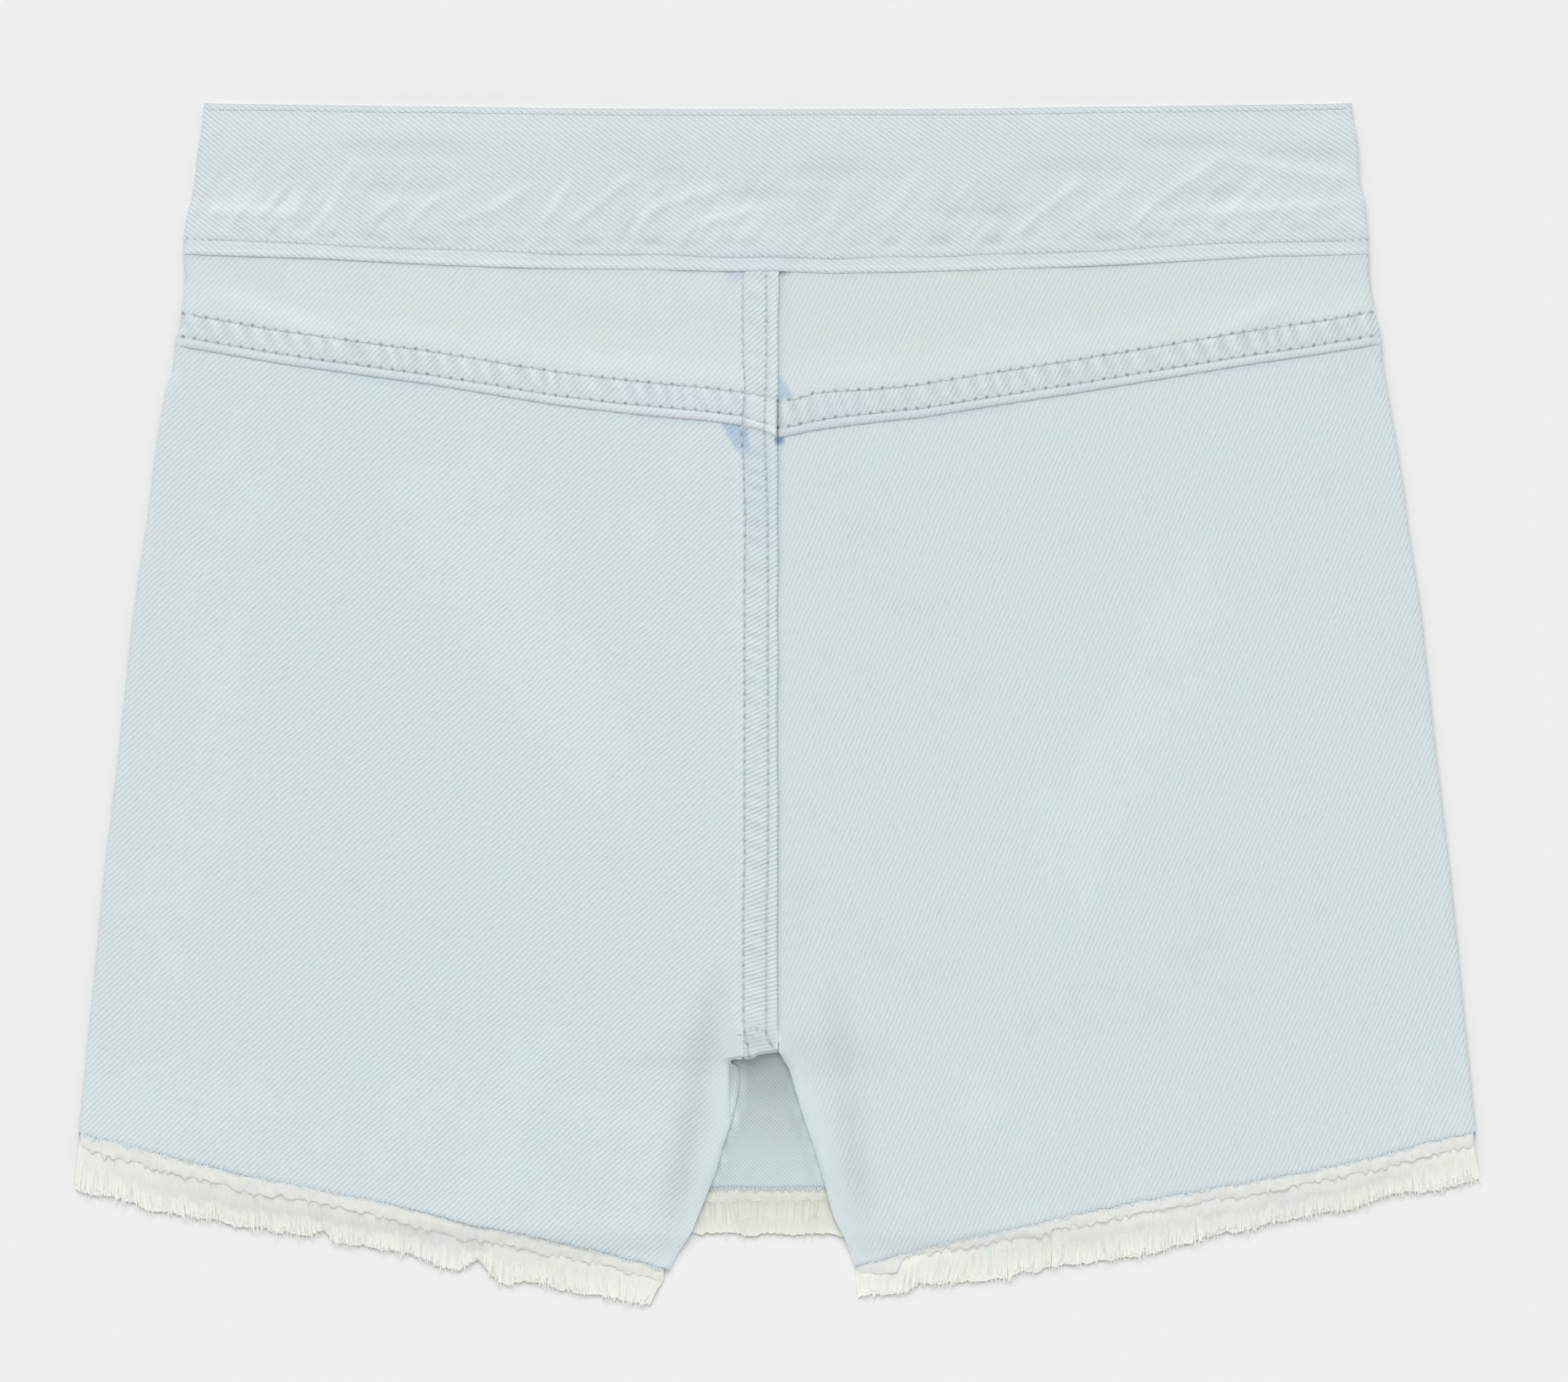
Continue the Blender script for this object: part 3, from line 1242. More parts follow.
def leg_tone(name, leg, x, y):
    """How light a leg is: along its rolled thigh, in its troughs and beside its seams."""
    left = leg.side < 0
    thigh, down = inner_distance(x, y), yoke_y(name, x) - y
    rolled = smooth((ROLL_FROM_Y - y) / 14.0)
    turned = smooth((-106 - y) / 10) if left else 1.0
    low = smooth((-116 - y) / 6)
    tone = 0.028 * rolled * bell(thigh, 3.6)
    bright = mix(0.34, 0.55, low) + 0.2 * left * smooth((-128 - y) / 8)
    tone += bright * rolled * bell(thigh + 0.25 * low, 0.45 - 0.05 * low) * turned
    tone += 0.028 * smooth((-130 - y) / 8) * bell(thigh, 18.0)
    sliver = smooth((0.15 - thigh) / 0.6) * smooth((-98.8 - y) / 0.8)
    tone -= mix(0.32, 0.05, smooth((-102 - y) / 8)) * rolled * sliver
    tone += 0.02 * smooth((-70 - y) / 40)
    tone += 0.045 * ridges(BOTH_TROUGHS, x, y) + 0.05 * ridges(SOFT_CREASES, x, y)
    tone -= 0.02 * bell(down - 0.6, 0.8)
    hollow = -ridges(THIGH_TROUGHS[name], x - 1.5 * leg.side, y)
    shaded, deeper = (0.11, 0.04) if left else (0.06, 0.06)
    tone -= hollow * (shaded + deeper * smooth((-102 - y) / 10))
    beside = np.where(x < -6, x - cb_row_x(0, y), x - cb_fold_x(y))
    tone += 0.02 * bell(beside - 1.7 * leg.side, 1.2)
    if left:
        end = thigh + through(SLIVERS["left"], y) - 0.8
        tone += 0.14 * sliver * bell(end + 0.3, 0.6) * smooth((y + 113) / 6)
        tone += 0.4 * bell(y + 98.3, 0.8) * bell(x + 12, 1.1)
        tone += 0.012 - 0.02 * bell(thigh - 7, 4.0) * bell(y + 116, 6.0)
    else:
        tone -= 0.05 * bell(beside, 0.55) * smooth((y + 90) / 6)
        tone -= 0.40 * bell(x - 0.2, 1.0) * bell(y - 72.5, 0.9)
        tone += 0.45 * bell(x - 0.4, 0.5) * smooth((-89 - y) / 4)
    return tone


def build_leg(name, leg):
    left = leg.side < 0
    hem = partial(raw_y, leg)
    sides = by_side(leg, partial(side_x, leg.side), partial(inner_x, name))
    edges = four_edges(lambda x: yoke_y(name, x) - BUTT, hem, *sides)
    inner_edge = edges[3] if left else edges[2]
    (_, first_y), (_, last_y) = inner_edge(0.0), inner_edge(1.0)
    near_crotch = (first_y - np.arange(*NEAR_CROTCH)) / (first_y - last_y)

    def marks(x, y):
        thigh, down = inner_distance(x, y), yoke_y(name, x) - y
        border = uneven_border(x, y)
        if left:
            from_left = x + 15.9 - 0.4 * down - 0.026 * down**2
            blue = 0.60 * smooth((from_left + border) / 1.5)
            blue *= smooth((11.5 - down + border) / 8.0)
        else:
            blue = smooth((2.7 - x + 0.6 * border) / 1.8)
            blue *= smooth((2.9 - down + 0.6 * border) / 2.2)
            blue += 0.10 * bell(x - 0.5, 1.0) * smooth((y - 40) / 30)
        blue += 0.10 * bell(down - 0.6, 1.2) * smooth(raw_edge(x / 26, 40.0) * 1.6)
        wear = vectors(leg_tone(name, leg, x, y), blue, np.maximum(0, y - hem(x)))
        calm = smooth((-82 - y) / 10) * (1 - smooth((thigh - 3.5) / 5.0))
        bold = (1.05 if left else 0.9) * (1 - 0.75 * calm)
        if not left:
            return wear, no_stitches(x), bold
        offset = np.where(y > -92, x - cb_row_x(0, y), FAR)
        return wear, vectors(y / CB_PITCH, offset, FAR), bold

    def wall(x, y):
        """The cloth is thinnest in the left leg's tab beside the crotch."""
        return PLY * (0.92 - 0.8 * left * bell(y + 97.4, 1.1) * bell(x + 11.4, 2.8))

    return cloth(
        f"denim_back_{name}", f"back_leg_{name}", edges, partial(leg_z, name=name),
        Steps(1.2, 0.35, 3.0, 2.2), by_side(leg, ROUND, THIGH_END), straight_grain(leg.grain),
        marks, wall, DENIM, thigh_roll(name, leg), near_crotch,
    )


def build_yoke(name, leg):
    left = leg.side < 0
    sides = by_side(leg, partial(side_x, leg.side), partial(inner_x, name))

    def marks(x, y):
        up, down = y - yoke_y(name, x), band_y(x) - y
        low, high = up - yoke_row(0, x), up - yoke_row(1, x)
        between = smooth((low - 0.3) / 0.8) * smooth(-high / 0.8)
        tone = 0.02 * bell(up - 1.4, 1.0) - 0.02 * bell(high, 0.4) - 0.07 * bell(low, 0.4)
        tone += 0.065 * pucker(x, up) * between - 0.045 * bell(down - 0.2, 0.9)
        tone += 0.06 * ridges(YOKE_CREASES, x, y)
        tone += 0.028 * smooth(high - 0.2) * (1 - smooth((high - 5.0) / 5.0))
        tone += 0.05 * (1 - smooth((down - 0.2) / 0.6))
        blue = 0.03 + 0.04 * smooth(raw_edge(x / 21, 60.0) * 2)
        blue *= smooth(up / 0.5) * smooth(0.4 - low)
        blue += 0.03 * smooth(raw_edge(x / 17, 80.0) * 2) * smooth(-high / 3)
        if left:
            blue -= 0.30 * smooth((x + 58) / 30) * smooth(-high / 0.8)
            blue += 0.14 * smooth((x + 13.5) / 2.5) * between
            blue += 0.18 * smooth((x + 16) / 4) * smooth((y - 114.5) / 3)
            tone += 0.015 * between
        else:
            border = uneven_border(x, y)
            corner = smooth((1.4 + 0.667 * (90.5 - y) - x + border) / 1.6) * smooth(high / 0.6)
            blue += 0.46 * corner + 0.05 * smooth((30 - x) / 14) * smooth(-high / 0.8)
            tone -= 0.05 * bell(x - cb_fold_x(y) - 0.2, 0.55)
            tone -= 0.72 * bell(x - cb_fold_x(y) - 0.15, 0.42) * smooth((86 - y) / 2.5)
            lean_x = x - 0.14 * (y - 80)
            for place, dark in ((4.3, 1.0), (6.2, 0.5), (8.2, 1.0), (9.0, 0.5), (16.3, 0.8)):
                tone -= 0.09 * dark * bell(lean_x - place, 0.25) * between
            tone += 0.035 * smooth((24 - x) / 6) * between - 0.015
        stitch = vectors(x / YOKE_PITCH, low, high)
        return vectors(tone, blue, FAR), stitch, 0.8 + 0.6 * between

    return cloth(
        f"denim_yoke_{name}", f"yoke_{name}", four_edges(under_band, partial(yoke_y, name), *sides),
        partial(yoke_z, name=name), Steps(0.95, 0.2, 0.4, 1.3), by_side(leg, ROUND, SEAM_END),
        straight_grain(YOKE_GRAIN[name]), marks, PLY * 0.92, DENIM_YOKE,
    )


def strip_marks(x, y):
    up = y - yoke_y("left", x)
    down = -up
    rows = [x - cb_row_x(row, y) for row in (0, 1)]
    from_fold = x - cb_fold_x(y)
    tone = 0.04 * bell(from_fold + 1.0, 0.7) - 0.03 * bell(from_fold, 0.25) + 0.01
    tone += 0.025 * pucker(y, x - CB_LEFT) * smooth((x + 9) / 2) * smooth((-3 - x) / 2)
    tone += 0.02 * bell(up - 1.4, 1.0) - 0.07 * bell(down - 0.4, 0.5)
    dots = 0.5 + 0.5 * np.cos(2 * np.pi * x / YOKE_PITCH)
    for row, offset in enumerate(rows):
        tone -= (0.07 + 0.12 * dots**3) * bell(up - yoke_row(row, x), 0.35)
        tone -= 0.14 * bell(offset, 0.35) * smooth((-86 - y) / 3)
    tone -= 0.30 * smooth((x + 1.0) / 0.6) * bell(y - 72.8, 0.8)
    border = uneven_border(x, y)
    above = smooth(up / 0.5) * smooth((9 - up) / 1.5)
    tone += 0.03 * above * smooth((x + 8.6) / 1.2)
    tone -= 0.55 * bell(from_fold, 0.35) * smooth((86 - y) / 2.5) * smooth(up / 0.5)
    tone += 0.06 * (1 - smooth((y - through(CB_BOTTOM, x)) / 3.0))
    tone += 0.3 * bell(from_fold - 0.1, 0.5) * smooth((-87 - y) / 4)
    corner = smooth((-6.9 - x + border) / 1.6) * smooth((9.5 - down) / 7)
    blue = (0.54 * corner + 0.09 * smooth(down / 3) * smooth((y - 36) / 20)) * smooth(down / 0.3)
    blue += 0.8 * smooth((x + 1.1) / 0.6) * bell(y - 72.7, 1.0)
    blue += 0.14 * above * smooth((-7.6 - x + border) / 1.2) + 0.02 * smooth(down)
    bold = 1.35 - 0.8 * smooth((-80 - y) / 8) - 0.5 * smooth(up / 0.5) * smooth((10 - up) / 2)
    return {
        "grain": vectors(*bent_grain(CB_GRAIN, True)(x, y), bold),
        "wear": vectors(tone, blue, FAR),
        "stitch": vectors(y / CB_PITCH, *rows),
    }


# From the strip's left edge to its columns, which are closest at its stitches and its fold
STRIP_COLUMNS = (
    0, 0.2, 0.45, 0.8, 1.3, 1.9, 2.6, 3.3, 4.0, 4.6, 5.2, 5.6, 5.95, 6.25, 6.6, 6.9, 7.3, 7.8,
    8.2, 8.5, 8.75, 8.93, 9.08, 9.18, 9.25, 9.3,
)
CROSSING = (-12.5, 3.0, 0.16)  # fine rows where the yoke's seam crosses the strip
STRIP_END = (0.02, 0.05, 0.1, 0.17)  # from its lower end to its last rows


def build_strip():
    """The felled centre-back seam, whose left edge meets the left half in a stitch groove."""
    edges = four_edges(under_band, partial(through, CB_BOTTOM), cb_left_x, cb_fold_x)
    _, length = span(edges)
    crossing = (BAND_CENTRE_Y - YOKE_CENTRE_Y) / length
    fine = crossing + np.arange(*CROSSING) / length
    ending = 1 - np.array(STRIP_END) / length
    downs = graded(length, Steps(0.55, 0.25, 0.5, 5.0))
    downs = np.unique(np.concatenate([downs, fine, ending]))
    shares = np.array(STRIP_COLUMNS) / -CB_LEFT
    x, y = patch(edges, np.tile(shares, (len(downs), 1)), downs)
    top = vectors(x, y, strip_z(x, y))
    piece = shell("denim_centre_back_seam", top, CB_WALL, strip_marks(x, y), DENIM)
    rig.replaces(piece, "centre_back_seam")
    return piece


def band_marks(x, y):
    down, up = waist_y(x) - y, y - band_y(x)
    tone = 0.15 * ridges(BAND_CREASES, x, y, 0.8) + 0.03 * bell(up - 1.6, 1.0)
    tone += 0.042 * drag(x, y) + 0.13 * (1 - smooth((up - 0.1) / 0.7))
    tone -= 0.035 * bell(up - 3.2, 0.8)
    tone += 0.018 * smooth((down - 2.4) / 1) * (1 - smooth((down - 7) / 8))
    tone -= 0.12 * (1 - smooth(down / 0.9)) + 0.14 * (1 - smooth(down / 0.4))
    tone += 0.11 * bell(down - band_row(0, x), 0.5) + 0.025 * bell(up - 7, 2.5)
    tone += 0.025 * bell(up - 1.6, 0.5)
    tone += 0.03 * smooth((np.abs(x) - 70) / 90) * bell(up - 12, 7.0)
    tone += 0.014 * smooth((-40 - x) / 40)
    blue = 0.04 * smooth(raw_edge(x / 19, 20.0) * 2) * bell(up - 4, 2.0)
    blue -= 0.6 * bell(up - 3.4, 3.0) * bell(x + 6, 8.0)
    stitch = vectors(x / BAND_PITCH, down - band_row(0, x), up - band_row(1, x))
    return vectors(tone, blue, FAR), stitch, 1.1 - 0.3 * bell(up - 2.2, 2.0)


def build_band():
    edges = whole_width(waist_y, band_y)
    back = cloth(
        "denim_waistband_back", "waistband_back", edges, band_z, Steps(0.8, 0.22, 2.0, 1.4),
        (ROUND, ROUND), bent_grain(BAND_GRAIN, False), band_marks, BAND_WALL * 0.95, DENIM_BAND,
    )
    front = cloth(
        "denim_waistband_front", "waistband_front", edges, band_front_z,
        Steps(2.4, 0.5, 1.0, 1.0), (ROUND, ROUND), straight_grain(90.0),
        plain_marks, BAND_WALL * 0.98, DENIM_BAND,
    )
    return back, front


def panel_marks(x, y):
    """The panel shows between the legs, where they shade it and its edges are light."""
    near = bell(x, 40.0)
    tone = -near * (0.03 + 0.17 * smooth((y + 124) / 22) + 0.04 * smooth((y + 134) / 14))
    tone -= near * (0.045 * smooth((y + 108) / 0.8) - 0.24 * bell(y + 97.2, 1.0))
    from_left = x - inner_x("left", y) - through(SLIVERS["left"], y)
    beside = np.minimum(from_left, inner_x("right", y) - x)
    light = smooth((-98 - y) / 3) * mix(0.19, 0.27, smooth((-104 - y) / 8))
    tone += light * bell(beside - 0.2, 0.8) - 0.01 * near * smooth((y + 108) / 2)
    tone += 0.42 * bell(y + 98.4, 0.9) * bell(x + 11, 2.2)
    deep = 0.03 - 0.02 * smooth((-116 - y) / 6) + 0.06 * bell(beside - 2.6, 1.8)
    tone -= near * (smooth((-110 - y) / 6) * deep - 0.02 * smooth((-120 - y) / 8))
    from_hem = y - panel_raw_y(x)
    tone -= 0.16 * bell(from_hem - 0.2, 0.6)
    blue = near * (0.02 * smooth((y + 112) / 12) - 0.04 * smooth((-118 - y) / 10))
    return vectors(tone, blue, np.maximum(0, from_hem)), no_stitches(x), 1.0


def build_panel():
    return cloth(
        "denim_skirt_panel", "front_skirt_panel", whole_width(under_band, panel_raw_y), panel_z,
        Steps(1.7, 0.35, 1.0, 2.0), (ROUND, ROUND), straight_grain(8.8), panel_marks, PLY * 0.96,
        DENIM_INSIDE,
    )


def front_places(name, leg):
    """The inner and outer edges of the front of one leg."""

    def inside(y):
        thigh = inner_x(name, y) + leg.side * (UNDER_WRAP + ROLL_REACH)
        return mix(leg.side * 0.15, thigh, smooth((FRONT_LEAVES_Y - y) / 20.0))

    def outside(y):
        return leg.side * (half_width(y) - FRONT_INSET)

    return by_side(leg, outside, inside)


def build_front_leg(name, leg):
    hem = partial(raw_y, leg)
    return cloth(
        f"denim_front_{name}", f"front_leg_{name}",
        four_edges(under_band, hem, *front_places(name, leg)), front_leg_z,
        Steps(3.2, 0.5, 1.0, 2.0), (PLAIN, PLAIN), straight_grain(-leg.grain),
        lambda x, y: plain_marks(x, y, np.maximum(0, y - hem(x))), PLY * 0.95, DENIM_INSIDE,
    )


# ---- frayed trims ----

Trim = namedtuple("Trim", "name node edge left right surface length header tip_z seed colour")
Layer = namedtuple("Layer", "name per_mm wide thick drop sides rings shortest longest start")
CLUMPS = Layer("clumps", 1.7, 0.50, 0.11, 0.66, 6, 6, 0.82, 0.97, 2.6)
STRANDS = Layer("strands", 3.2, 0.14, 0.11, 0.58, 4, 6, 0.84, 1.04, 2.8)
HAIRS = Layer("hairs", 2.4, 0.07, 0.06, 0.54, 4, 6, 0.88, 1.10, 2.9)
TUFTS = Layer("tufts", 3.2, 0.16, 0.09, 0.16, 4, 3, 0.02, 0.09, -0.4)
DROOP = 1.15  # a trim's yarns droop to the floor by this power of the distance along them
FRINGE_LIGHT = {"fringe_skirt_panel": 0.055}  # and more for the others
ROOT_SHADE = {"fringe_skirt_panel": 0.11, "fringe_back_right": -0.10}  # just below the header
HEADER_LIGHT = {"fringe_skirt_panel": 0.09}  # and less for the others
END_LEAN = {"fringe_back_left": 0.5}  # of the yarns beside the inner thigh, away from it
FLARE = {"fringe_back_left": -0.14, "fringe_back_right": 0.14}  # of those at the side, outward
FLARE_WIDTH = 12.0
TIP_LIGHT = 0.16


def lean(trim, x):
    """How far the yarns lean sideways, in clumps."""
    uneven = Field(trim.seed)
    gathered = END_LEAN.get(trim.node, 0.0) * smooth((x - trim.right + 9) / 9)
    flare = FLARE.get(trim.node, 0.0)
    beside = trim.right - x if flare > 0 else x - trim.left
    outward = flare * (1 - smooth(beside / FLARE_WIDTH))
    return 0.09 * uneven(x / 4.4, 5.0) + 0.30 * uneven(x / 13, 11.0) ** 3 - gathered + outward


def kept_between(trim, x, spare):
    """Yarns don't stray past the trim's ends by more than their flare."""
    flare = FLARE.get(trim.node, 0.0) * FLARE_WIDTH
    return np.clip(x, trim.left - spare + min(flare, 0), trim.right + spare + max(flare, 0))


def fringe_shade(trim, down):
    """How light the loose yarns are, from the header down to their tips."""
    root = ROOT_SHADE.get(trim.node, -0.06) * (1 - smooth((down - 0.2) / 0.3))
    return FRINGE_LIGHT.get(trim.node, 0.085) - root + TIP_LIGHT * down**4


def beside_thighs(trim, x, y):
    """The shade that the legs cast on the skirt panel's trim beside the thighs."""
    if trim.node != "fringe_skirt_panel":
        return 0.0
    return 0.09 * sum(bell(x - inner_x(name, y) - 2 * LEGS[name].side, 3.5) for name in LEGS)


def trim_header(trim):
    """The top of a trim, where crossing yarns still hold its weave together."""
    uneven = Field(trim.seed + 1)
    t = np.array([0.0, 0.1, 0.16, 0.24, 0.36, 0.5, 0.64, 0.78, 0.88, 0.94, 0.98, 1.0])[:, None]
    x = np.linspace(trim.left, trim.right, int((trim.right - trim.left) / 0.4))[None, :]
    # the lowest crossing yarn runs in steps, with a small notch at some of their ends
    step = x / 6.5 + 0.7 * uneven(x / 14, 3.0)
    notch = bell(np.abs(step % 1 - 0.5) - 0.5, 0.06) * smooth(uneven(np.round(step) * 3.7, 8.0) * 3)
    reach = trim.header(x) + 0.42 * uneven(np.floor(step) * 2.3, 2.0) + 0.16 * uneven(x / 1.7, 1.0)
    drip = 0.7 * smooth((uneven(x / 1.1, 4.0) - 0.15) * 3)
    reach = np.maximum(reach + 0.8 * notch + drip, 0.5)
    y = trim.edge(x) + 0.35 - (reach + 0.35) * t
    x = x + 0 * y
    rib = 0.11 * uneven(x / 0.8, y / 2.4) + 0.10 * uneven(x / 2.6, y / 1.5 + 9)
    broken = np.clip(0.3 + 0.9 * uneven(x / 3.1, 12.0), 0, 1)
    z = trim.surface(x, y) - 0.34 - 0.75 * (1 - smooth(t / 0.16)) + rib * smooth(t / 0.2)
    z -= 0.22 * (1 - broken) * smooth((t - 0.5) / 0.5) + 0.2 * (1 - round_over((1 - t) / 0.12))
    shade = HEADER_LIGHT.get(trim.node, 0.035) + 0.025 * uneven(x / 0.9, y / 1.1 + 30)
    shade += 0.02 * uneven(x / 3.3, y / 3 + 70) - 0.04 * (1 - smooth(t / 0.3))
    shade -= 0.02 * broken * smooth((t - 0.93) / 0.06) + beside_thighs(trim, x, y)
    top = vectors(x, y, z)
    fibre = {"fibre": vectors(x * 1.3, y, shade)}
    return shell(f"{trim.name}_header", top, 0.4, fibre, trim.colour, (), range(x.shape[1]))


def trim_felt(trim):
    """The loose yarns that lie matted behind the others."""
    uneven = Field(trim.seed + 2)
    t = np.linspace(0, 1, 15)[:, None]
    x0 = np.linspace(trim.left, trim.right, int((trim.right - trim.left) / 0.36))[None, :]
    reach = trim.length(x0) * (0.96 + 0.025 * uneven(x0 / 0.8, 1.0) + 0.03 * uneven(x0 / 3.4, 2.0))
    start = trim.header(x0) - 0.8
    run = reach - start
    x = kept_between(trim, x0 + lean(trim, x0) * run * t, 0.5)
    x = np.maximum.accumulate(x, axis=1)
    y = trim.edge(x0) - start - run * t
    rib = 0.06 * uneven(x0 / 0.7, 1.5 * t + 40) + 0.10 * uneven(x0 / 2.2, 1.2 * t + 60)
    z = mix(trim.surface(x, y) - 0.76, trim.tip_z - 0.1, t**DROOP) + rib * (1 - 0.5 * t)
    z = np.maximum(z, 0.3)
    shade = fringe_shade(trim, t) + 0.012 * uneven(x0 / 2.6, 0.8 * t) - beside_thighs(trim, x, y)
    fibre = {"fibre": vectors(x0 * 1.7, y, shade)}
    thickness = 0.42 * (1 - 0.6 * t**4)
    return shell(f"{trim.name}_felt", vectors(x, y, z), thickness, fibre, trim.colour)


def trim_yarns(trim, layer, material):
    """Single yarns that hang from a header and lean together in clumps."""
    random = np.random.default_rng(trim.seed + len(layer.name) * 7)
    uneven = Field(trim.seed + 3)
    t = np.linspace(0, 1, layer.rings)[None, :]
    width = trim.right - trim.left
    count = int(width * layer.per_mm)
    each = (count, 1)
    x0 = np.arange(count)[:, None] + random.uniform(0.2, 0.8, each)
    x0 = trim.left + width * x0 / count
    reach = trim.length(x0) * (1 + 0.035 * uneven(x0 / 2.6, 15.0))
    reach *= random.uniform(layer.shortest, layer.longest, each)
    start = layer.start
    if start > 0:
        start = np.minimum(start, trim.header(x0) - 0.9)
    run = np.maximum(reach - start, 0.9)
    slant = lean(trim, x0) + 0.03 * random.normal(size=each)
    gather = 0.3 * np.sin(2 * np.pi * (x0 / 2.9 + 0.6 * uneven(x0 / 6, 21.0)))
    curl = random.normal(size=each) * 0.16
    phase = random.uniform(0, 6.28, each)
    x = x0 + slant * run * t + (gather + curl) * t**2
    x += 0.07 * np.sin(5.5 * t + phase) * t
    y = trim.edge(x0) - start - run * t
    down = np.clip((trim.edge(x0) - y) / trim.length(x0), 0, 1)
    high, low = trim.surface(x, y) - layer.drop, trim.tip_z + 0.62 - layer.drop
    z = mix(high, np.minimum(low, high), down**DROOP)
    z = np.maximum(z + random.uniform(-0.05, 0.05, each), layer.thick + 0.04)
    x = kept_between(trim, x, 0.6)
    taper = np.sqrt(np.clip(1 - (2.0 * (t - 0.6)) ** 2 * (t > 0.6), 0.04, 1.0))
    size = random.uniform(0.75, 1.2, each) * (taper * mix(0.6, 1.0, smooth(t / 0.2)))
    shade = fringe_shade(trim, down) + random.normal(size=each) * 0.008
    fibre = {"fibre": vectors(x0 * 1.7, y, shade - beside_thighs(trim, x, y))}
    wide, thick = layer.wide * size, layer.thick * size
    name = f"{trim.name}_{layer.name}"
    return tubes(name, vectors(x, y, z), wide, thick, layer.sides, fibre, material)


def build_trim(trim, layers, tuft_colour):
    made = [trim_header(trim), trim_felt(trim)]
    made += [trim_yarns(trim, layer, trim.colour) for layer in layers]
    made.append(trim_yarns(trim, TUFTS, tuft_colour))
    for piece in made:
        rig.replaces(piece, trim.node)
        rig.slot(piece, "frayed_yarn")
    return made


def build_leg_trims(name, leg, seed):
    """The trims of one leg's back hem and front hem."""
    edge = partial(raw_y, leg)
    length = partial(through, TRIM_LENGTHS[name])
    header = partial(through, HEADERS[name])

    def back_surface(x, y):
        z = BACK_TOP + loft(x, y) + ridges(BOTH_TROUGHS, x, y) - past_panel(x, y)
        z = turned_down(z, x, y, BACK_EDGE_Z + 0.4)
        return z - 1.2 * (1 - round_over(inner_distance(x, y) / 2.4))

    outer = leg.side * (half_width(leg.hem_outer_y) - 0.6)
    inner = inner_x(name, leg.hem_inner_y) + leg.side * 0.4
    back = Trim(
        f"trim_back_{name}", f"fringe_back_{name}", edge, *by_side(leg, outer, inner),
        back_surface, length, header, 1.0, seed, YARN,
    )
    at = by_side(leg, leg.hem_outer_y, leg.hem_inner_y)
    ends = [float(place(y)) for place, y in zip(front_places(name, leg), at)]
    front = Trim(
        f"trim_front_{name}", f"fringe_front_{name}", edge, *ends, front_leg_z,
        lambda x: length(x) * 0.86, header, 0.4, seed + 5, YARN_SHADED,
    )
    made = build_trim(back, (CLUMPS, STRANDS, HAIRS), YARN_WARP)
    return made, build_trim(front, (CLUMPS,), YARN_SHADED)


def build_panel_trim():
    width = float(half_width(panel_hem_y(HEM_OUTER_X))) - 0.8
    trim = Trim(
        "trim_skirt_panel", "fringe_skirt_panel", panel_raw_y, -width, width,
        lambda x, y: panel_z(x, y) + 0.30,
        lambda x: PANEL_FRINGE + 1.3 + 0.4 * raw_edge(x / 5, 29.0),
        lambda x: PANEL_HEADER + 0 * x, 1.0, 71, YARN_SHADED,
    )
    return build_trim(trim, (CLUMPS, HAIRS), YARN_WARP)


# ---- stitches ----

FINE = 0.25  # the step along a seam's line


def stitches(x, y, z, along, pitch, wide=0.21, length=0.78):
    """One thread capsule for each stitch of a row that runs along a fine polyline."""
    random = np.random.default_rng(len(x))
    first, last = math.ceil(along[0] / pitch), math.floor(along[-1] / pitch)
    middles = (np.arange(first, last) + 0.5) * pitch
    middles = middles + random.normal(size=len(middles)) * 0.04
    t = np.linspace(-1, 1, 7)[None, :]
    at = middles[:, None] + t * pitch * length / 2
    px, py, pz = (np.interp(at, along, values) for values in (x, y, z))
    pz = pz + 0.13 - 0.42 * np.abs(t) ** 3.2
    size = wide * np.sqrt(np.clip(1.02 - np.abs(t) ** 5, 0.05, 1))
    size = size * random.uniform(0.9, 1.08, (len(middles), 1))
    shade = -0.12 * np.abs(t) ** 3 + random.normal(size=(len(middles), 1)) * 0.02
    return vectors(px, py, pz), size, vectors(0 * at, at, shade)


TACK_PITCH = 1.6
# The bar tacks above the crotch, each between two x at one y
TACK_ROWS = ((-9.5, -2.3, -89.0), (-11.3, -5.6, -90.2), (-9.0, -3.5, -88.3), (-10.4, -7.0, -92.0))


def sew(name, rows):
    paths, sizes, fibres = (np.concatenate(part) for part in zip(*rows))
    piece = tubes(name, paths, sizes, sizes * 0.9, 6, {"fibre": fibres}, THREAD)
    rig.slot(piece, "thread")
    return piece


def yoke_stitches(name, leg):
    line = np.arange(-168.0, -0.5, FINE) if leg.side < 0 else np.arange(0.6, 168.0, FINE)
    for row in (0, 1):
        y = yoke_y(name, line) + yoke_row(row, line)
        x = line[np.abs(line) < half_width(y) - 2.0]
        y = yoke_y(name, x) + yoke_row(row, x)
        z = yoke_z(x, y, name)
        if leg.side < 0:
            z = np.where(x > cb_left_x(y) + 0.1, strip_z(x, y), z)
        yield stitches(x, y, z, x, YOKE_PITCH)


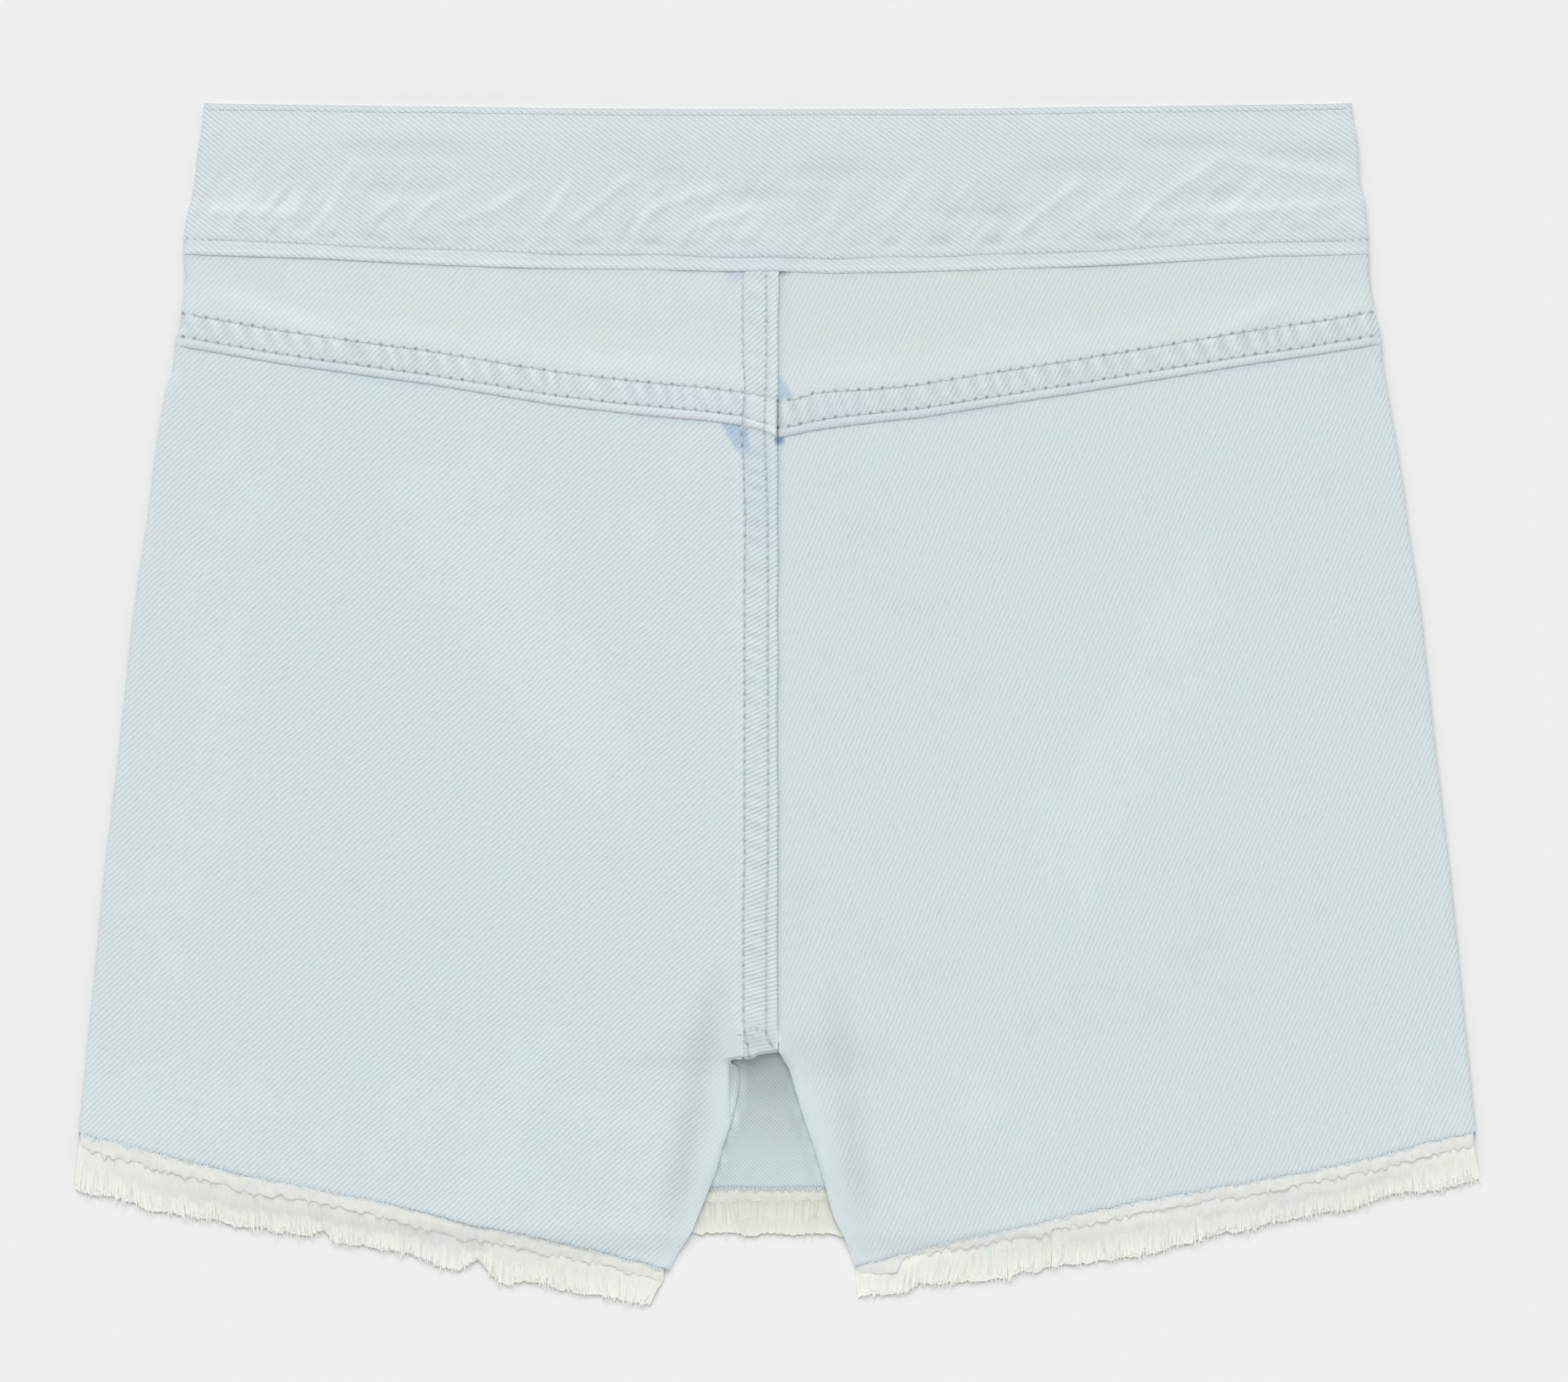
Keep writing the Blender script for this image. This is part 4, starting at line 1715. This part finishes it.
def centre_stitches():
    y = np.arange(-93.5, 118.0, FINE)
    for row in (0, 1):
        x = cb_row_x(row, y)
        z = strip_z(np.maximum(x, cb_left_x(y) + 0.05), y)
        yield stitches(x, y, z, y, CB_PITCH)
    # the tack across the seam's lower end
    for x0, x1, y0 in TACK_ROWS:
        x = np.arange(x0, x1, FINE)
        y = y0 + 0.1 * puckers(x / 2, y0)
        z = np.where(x > cb_left_x(y) + 0.05, strip_z(x, y), leg_z(x, y, "left"))
        yield stitches(x, y, z, x, TACK_PITCH, 0.13, 0.95)


def build_stitches():
    x = np.arange(-156.5, 156.5, FINE)
    lines = (waist_y(x) - band_row(0, x), 0.14), (band_y(x) + band_row(1, x), 0.17)
    rows = [stitches(x, y, band_z(x, y), x, BAND_PITCH, wide, 0.74) for y, wide in lines]
    made = [sew("stitches_waistband", rows)]
    for name, leg in LEGS.items():
        made.append(sew(f"stitches_yoke_{name}", yoke_stitches(name, leg)))
    made.append(sew("stitches_centre_back", centre_stitches()))
    return made


# ---- the whole object ----

panel = build_panel()
band_back, band_front = build_band()
strip = build_strip()
panel_trim = build_panel_trim()
band_threads, *yoke_threads, centre_threads = build_stitches()

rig.slot(strip, "denim")
Cut = namedtuple("Cut", "piece width length area rests_on goes_with slot")
cuts = [
    Cut(panel, 0.386, 0.257, 0.0892, [], panel_trim, "denim_inside"),
    Cut(band_front, 0.327, 0.0465, 0.0141, [], [], "denim"),
    Cut(band_back, 0.327, 0.0465, 0.0141, [band_front], [band_threads], "denim"),
]
for number, (name, leg) in enumerate(LEGS.items()):
    front = build_front_leg(name, leg)
    back = build_leg(name, leg)
    yoke = build_yoke(name, leg)
    back_trim, front_trim = build_leg_trims(name, leg, 200 + 20 * number)
    over = [strip, centre_threads] if leg.side < 0 else []
    cuts.append(Cut(front, 0.190, 0.281, 0.0440, [panel], front_trim, "denim_inside"))
    cuts.append(Cut(back, 0.192, 0.257, 0.0398, [front], back_trim + over, "denim"))
    cuts.append(Cut(yoke, 0.162, 0.051, 0.0056, [front], [yoke_threads[number]], "denim"))
for made in cuts:
    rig.slot(made.piece, made.slot)
    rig.sheet(
        made.piece,
        flat=(made.width, made.length),
        held="laid",
        rests_on=made.rests_on,
        area=made.area,
        with_pieces=made.goes_with,
    )

# ---- floor, light and camera ----

FLOOR_HALF = 40.0
WHITE = 0.871
KEY_SHARE = 0.36
SUN_FROM_ZENITH = 43.0
SUN_TURN = 5.5
SUN_WIDTH = 42.0

scene = bpy.context.scene
scene.view_settings.view_transform = "Standard"


def put_in_scene(name, data):
    made = bpy.data.objects.new(name, data)
    scene.collection.objects.link(made)
    return made


floor_mesh = bpy.data.meshes.new("floor")
corners = [(-1, -1), (1, -1), (1, 1), (-1, 1)]
places = [(a * FLOOR_HALF, b * FLOOR_HALF, 0.0) for a, b in corners]
floor_mesh.from_pydata(places, [], [(0, 1, 2, 3)])
floor = put_in_scene("floor", floor_mesh)
paint = Shader("floor_paint")
paint.surface.inputs["Base Color"].default_value = grey(WHITE)
paint.surface.inputs["Roughness"].default_value = 1.0
paint.surface.inputs["Specular IOR Level"].default_value = 0.0
floor_mesh.materials.append(paint.material)
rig.stage(floor)

# the world lights with less than the white that the camera and reflections see
world = bpy.data.worlds.new("studio")
world.use_nodes = True
scene.world = world
sky = Nodes(world.node_tree)
lit = sky.tree.nodes["Background"]
lit.inputs["Color"].default_value = grey(1)
lit.inputs["Strength"].default_value = 1 - KEY_SHARE
seen = sky.node("ShaderNodeBackground", {"Color": grey(WHITE)})
path = sky.node("ShaderNodeLightPath").outputs
either = sky.math("MAXIMUM", path["Is Glossy Ray"], path["Is Transmission Ray"])
any_of = sky.math("MAXIMUM", path["Is Camera Ray"], either)
choose = sky.node("ShaderNodeMixShader", {0: any_of, 1: lit.outputs[0], 2: seen.outputs[0]})
sky.put(sky.tree.nodes["World Output"].inputs["Surface"], choose.outputs[0])

sun = bpy.data.lights.new("soft_key", "SUN")
sun.energy = KEY_SHARE * math.pi / math.cos(math.radians(SUN_FROM_ZENITH))
sun.angle = math.radians(SUN_WIDTH)
turned = (math.radians(-SUN_FROM_ZENITH), 0, math.radians(SUN_TURN))
put_in_scene("soft_key", sun).rotation_euler = turned

CAMERA_HEIGHT = 3.0
SENSOR = 36.0
VIEW_WIDTH = 0.4306
VIEW_CENTRE = (1.9 * MM, 3.8 * MM)
low, high = cad_box
x, y = ((a + b) / 2 + shift for a, b, shift in zip(low, high, VIEW_CENTRE))
camera = bpy.data.cameras.new("camera")
camera.sensor_width = SENSOR
camera.lens = SENSOR * CAMERA_HEIGHT / VIEW_WIDTH
camera.clip_end = 200.0
scene.camera = put_in_scene("camera", camera)
scene.camera.location = (x, y, high[2] / 2 + CAMERA_HEIGHT)

size = {"cad": [list(corner) for corner in cad_box], "visual": [list(corner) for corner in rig.bounds()]}
with open("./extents.json", "w") as out:
    json.dump(size, out)
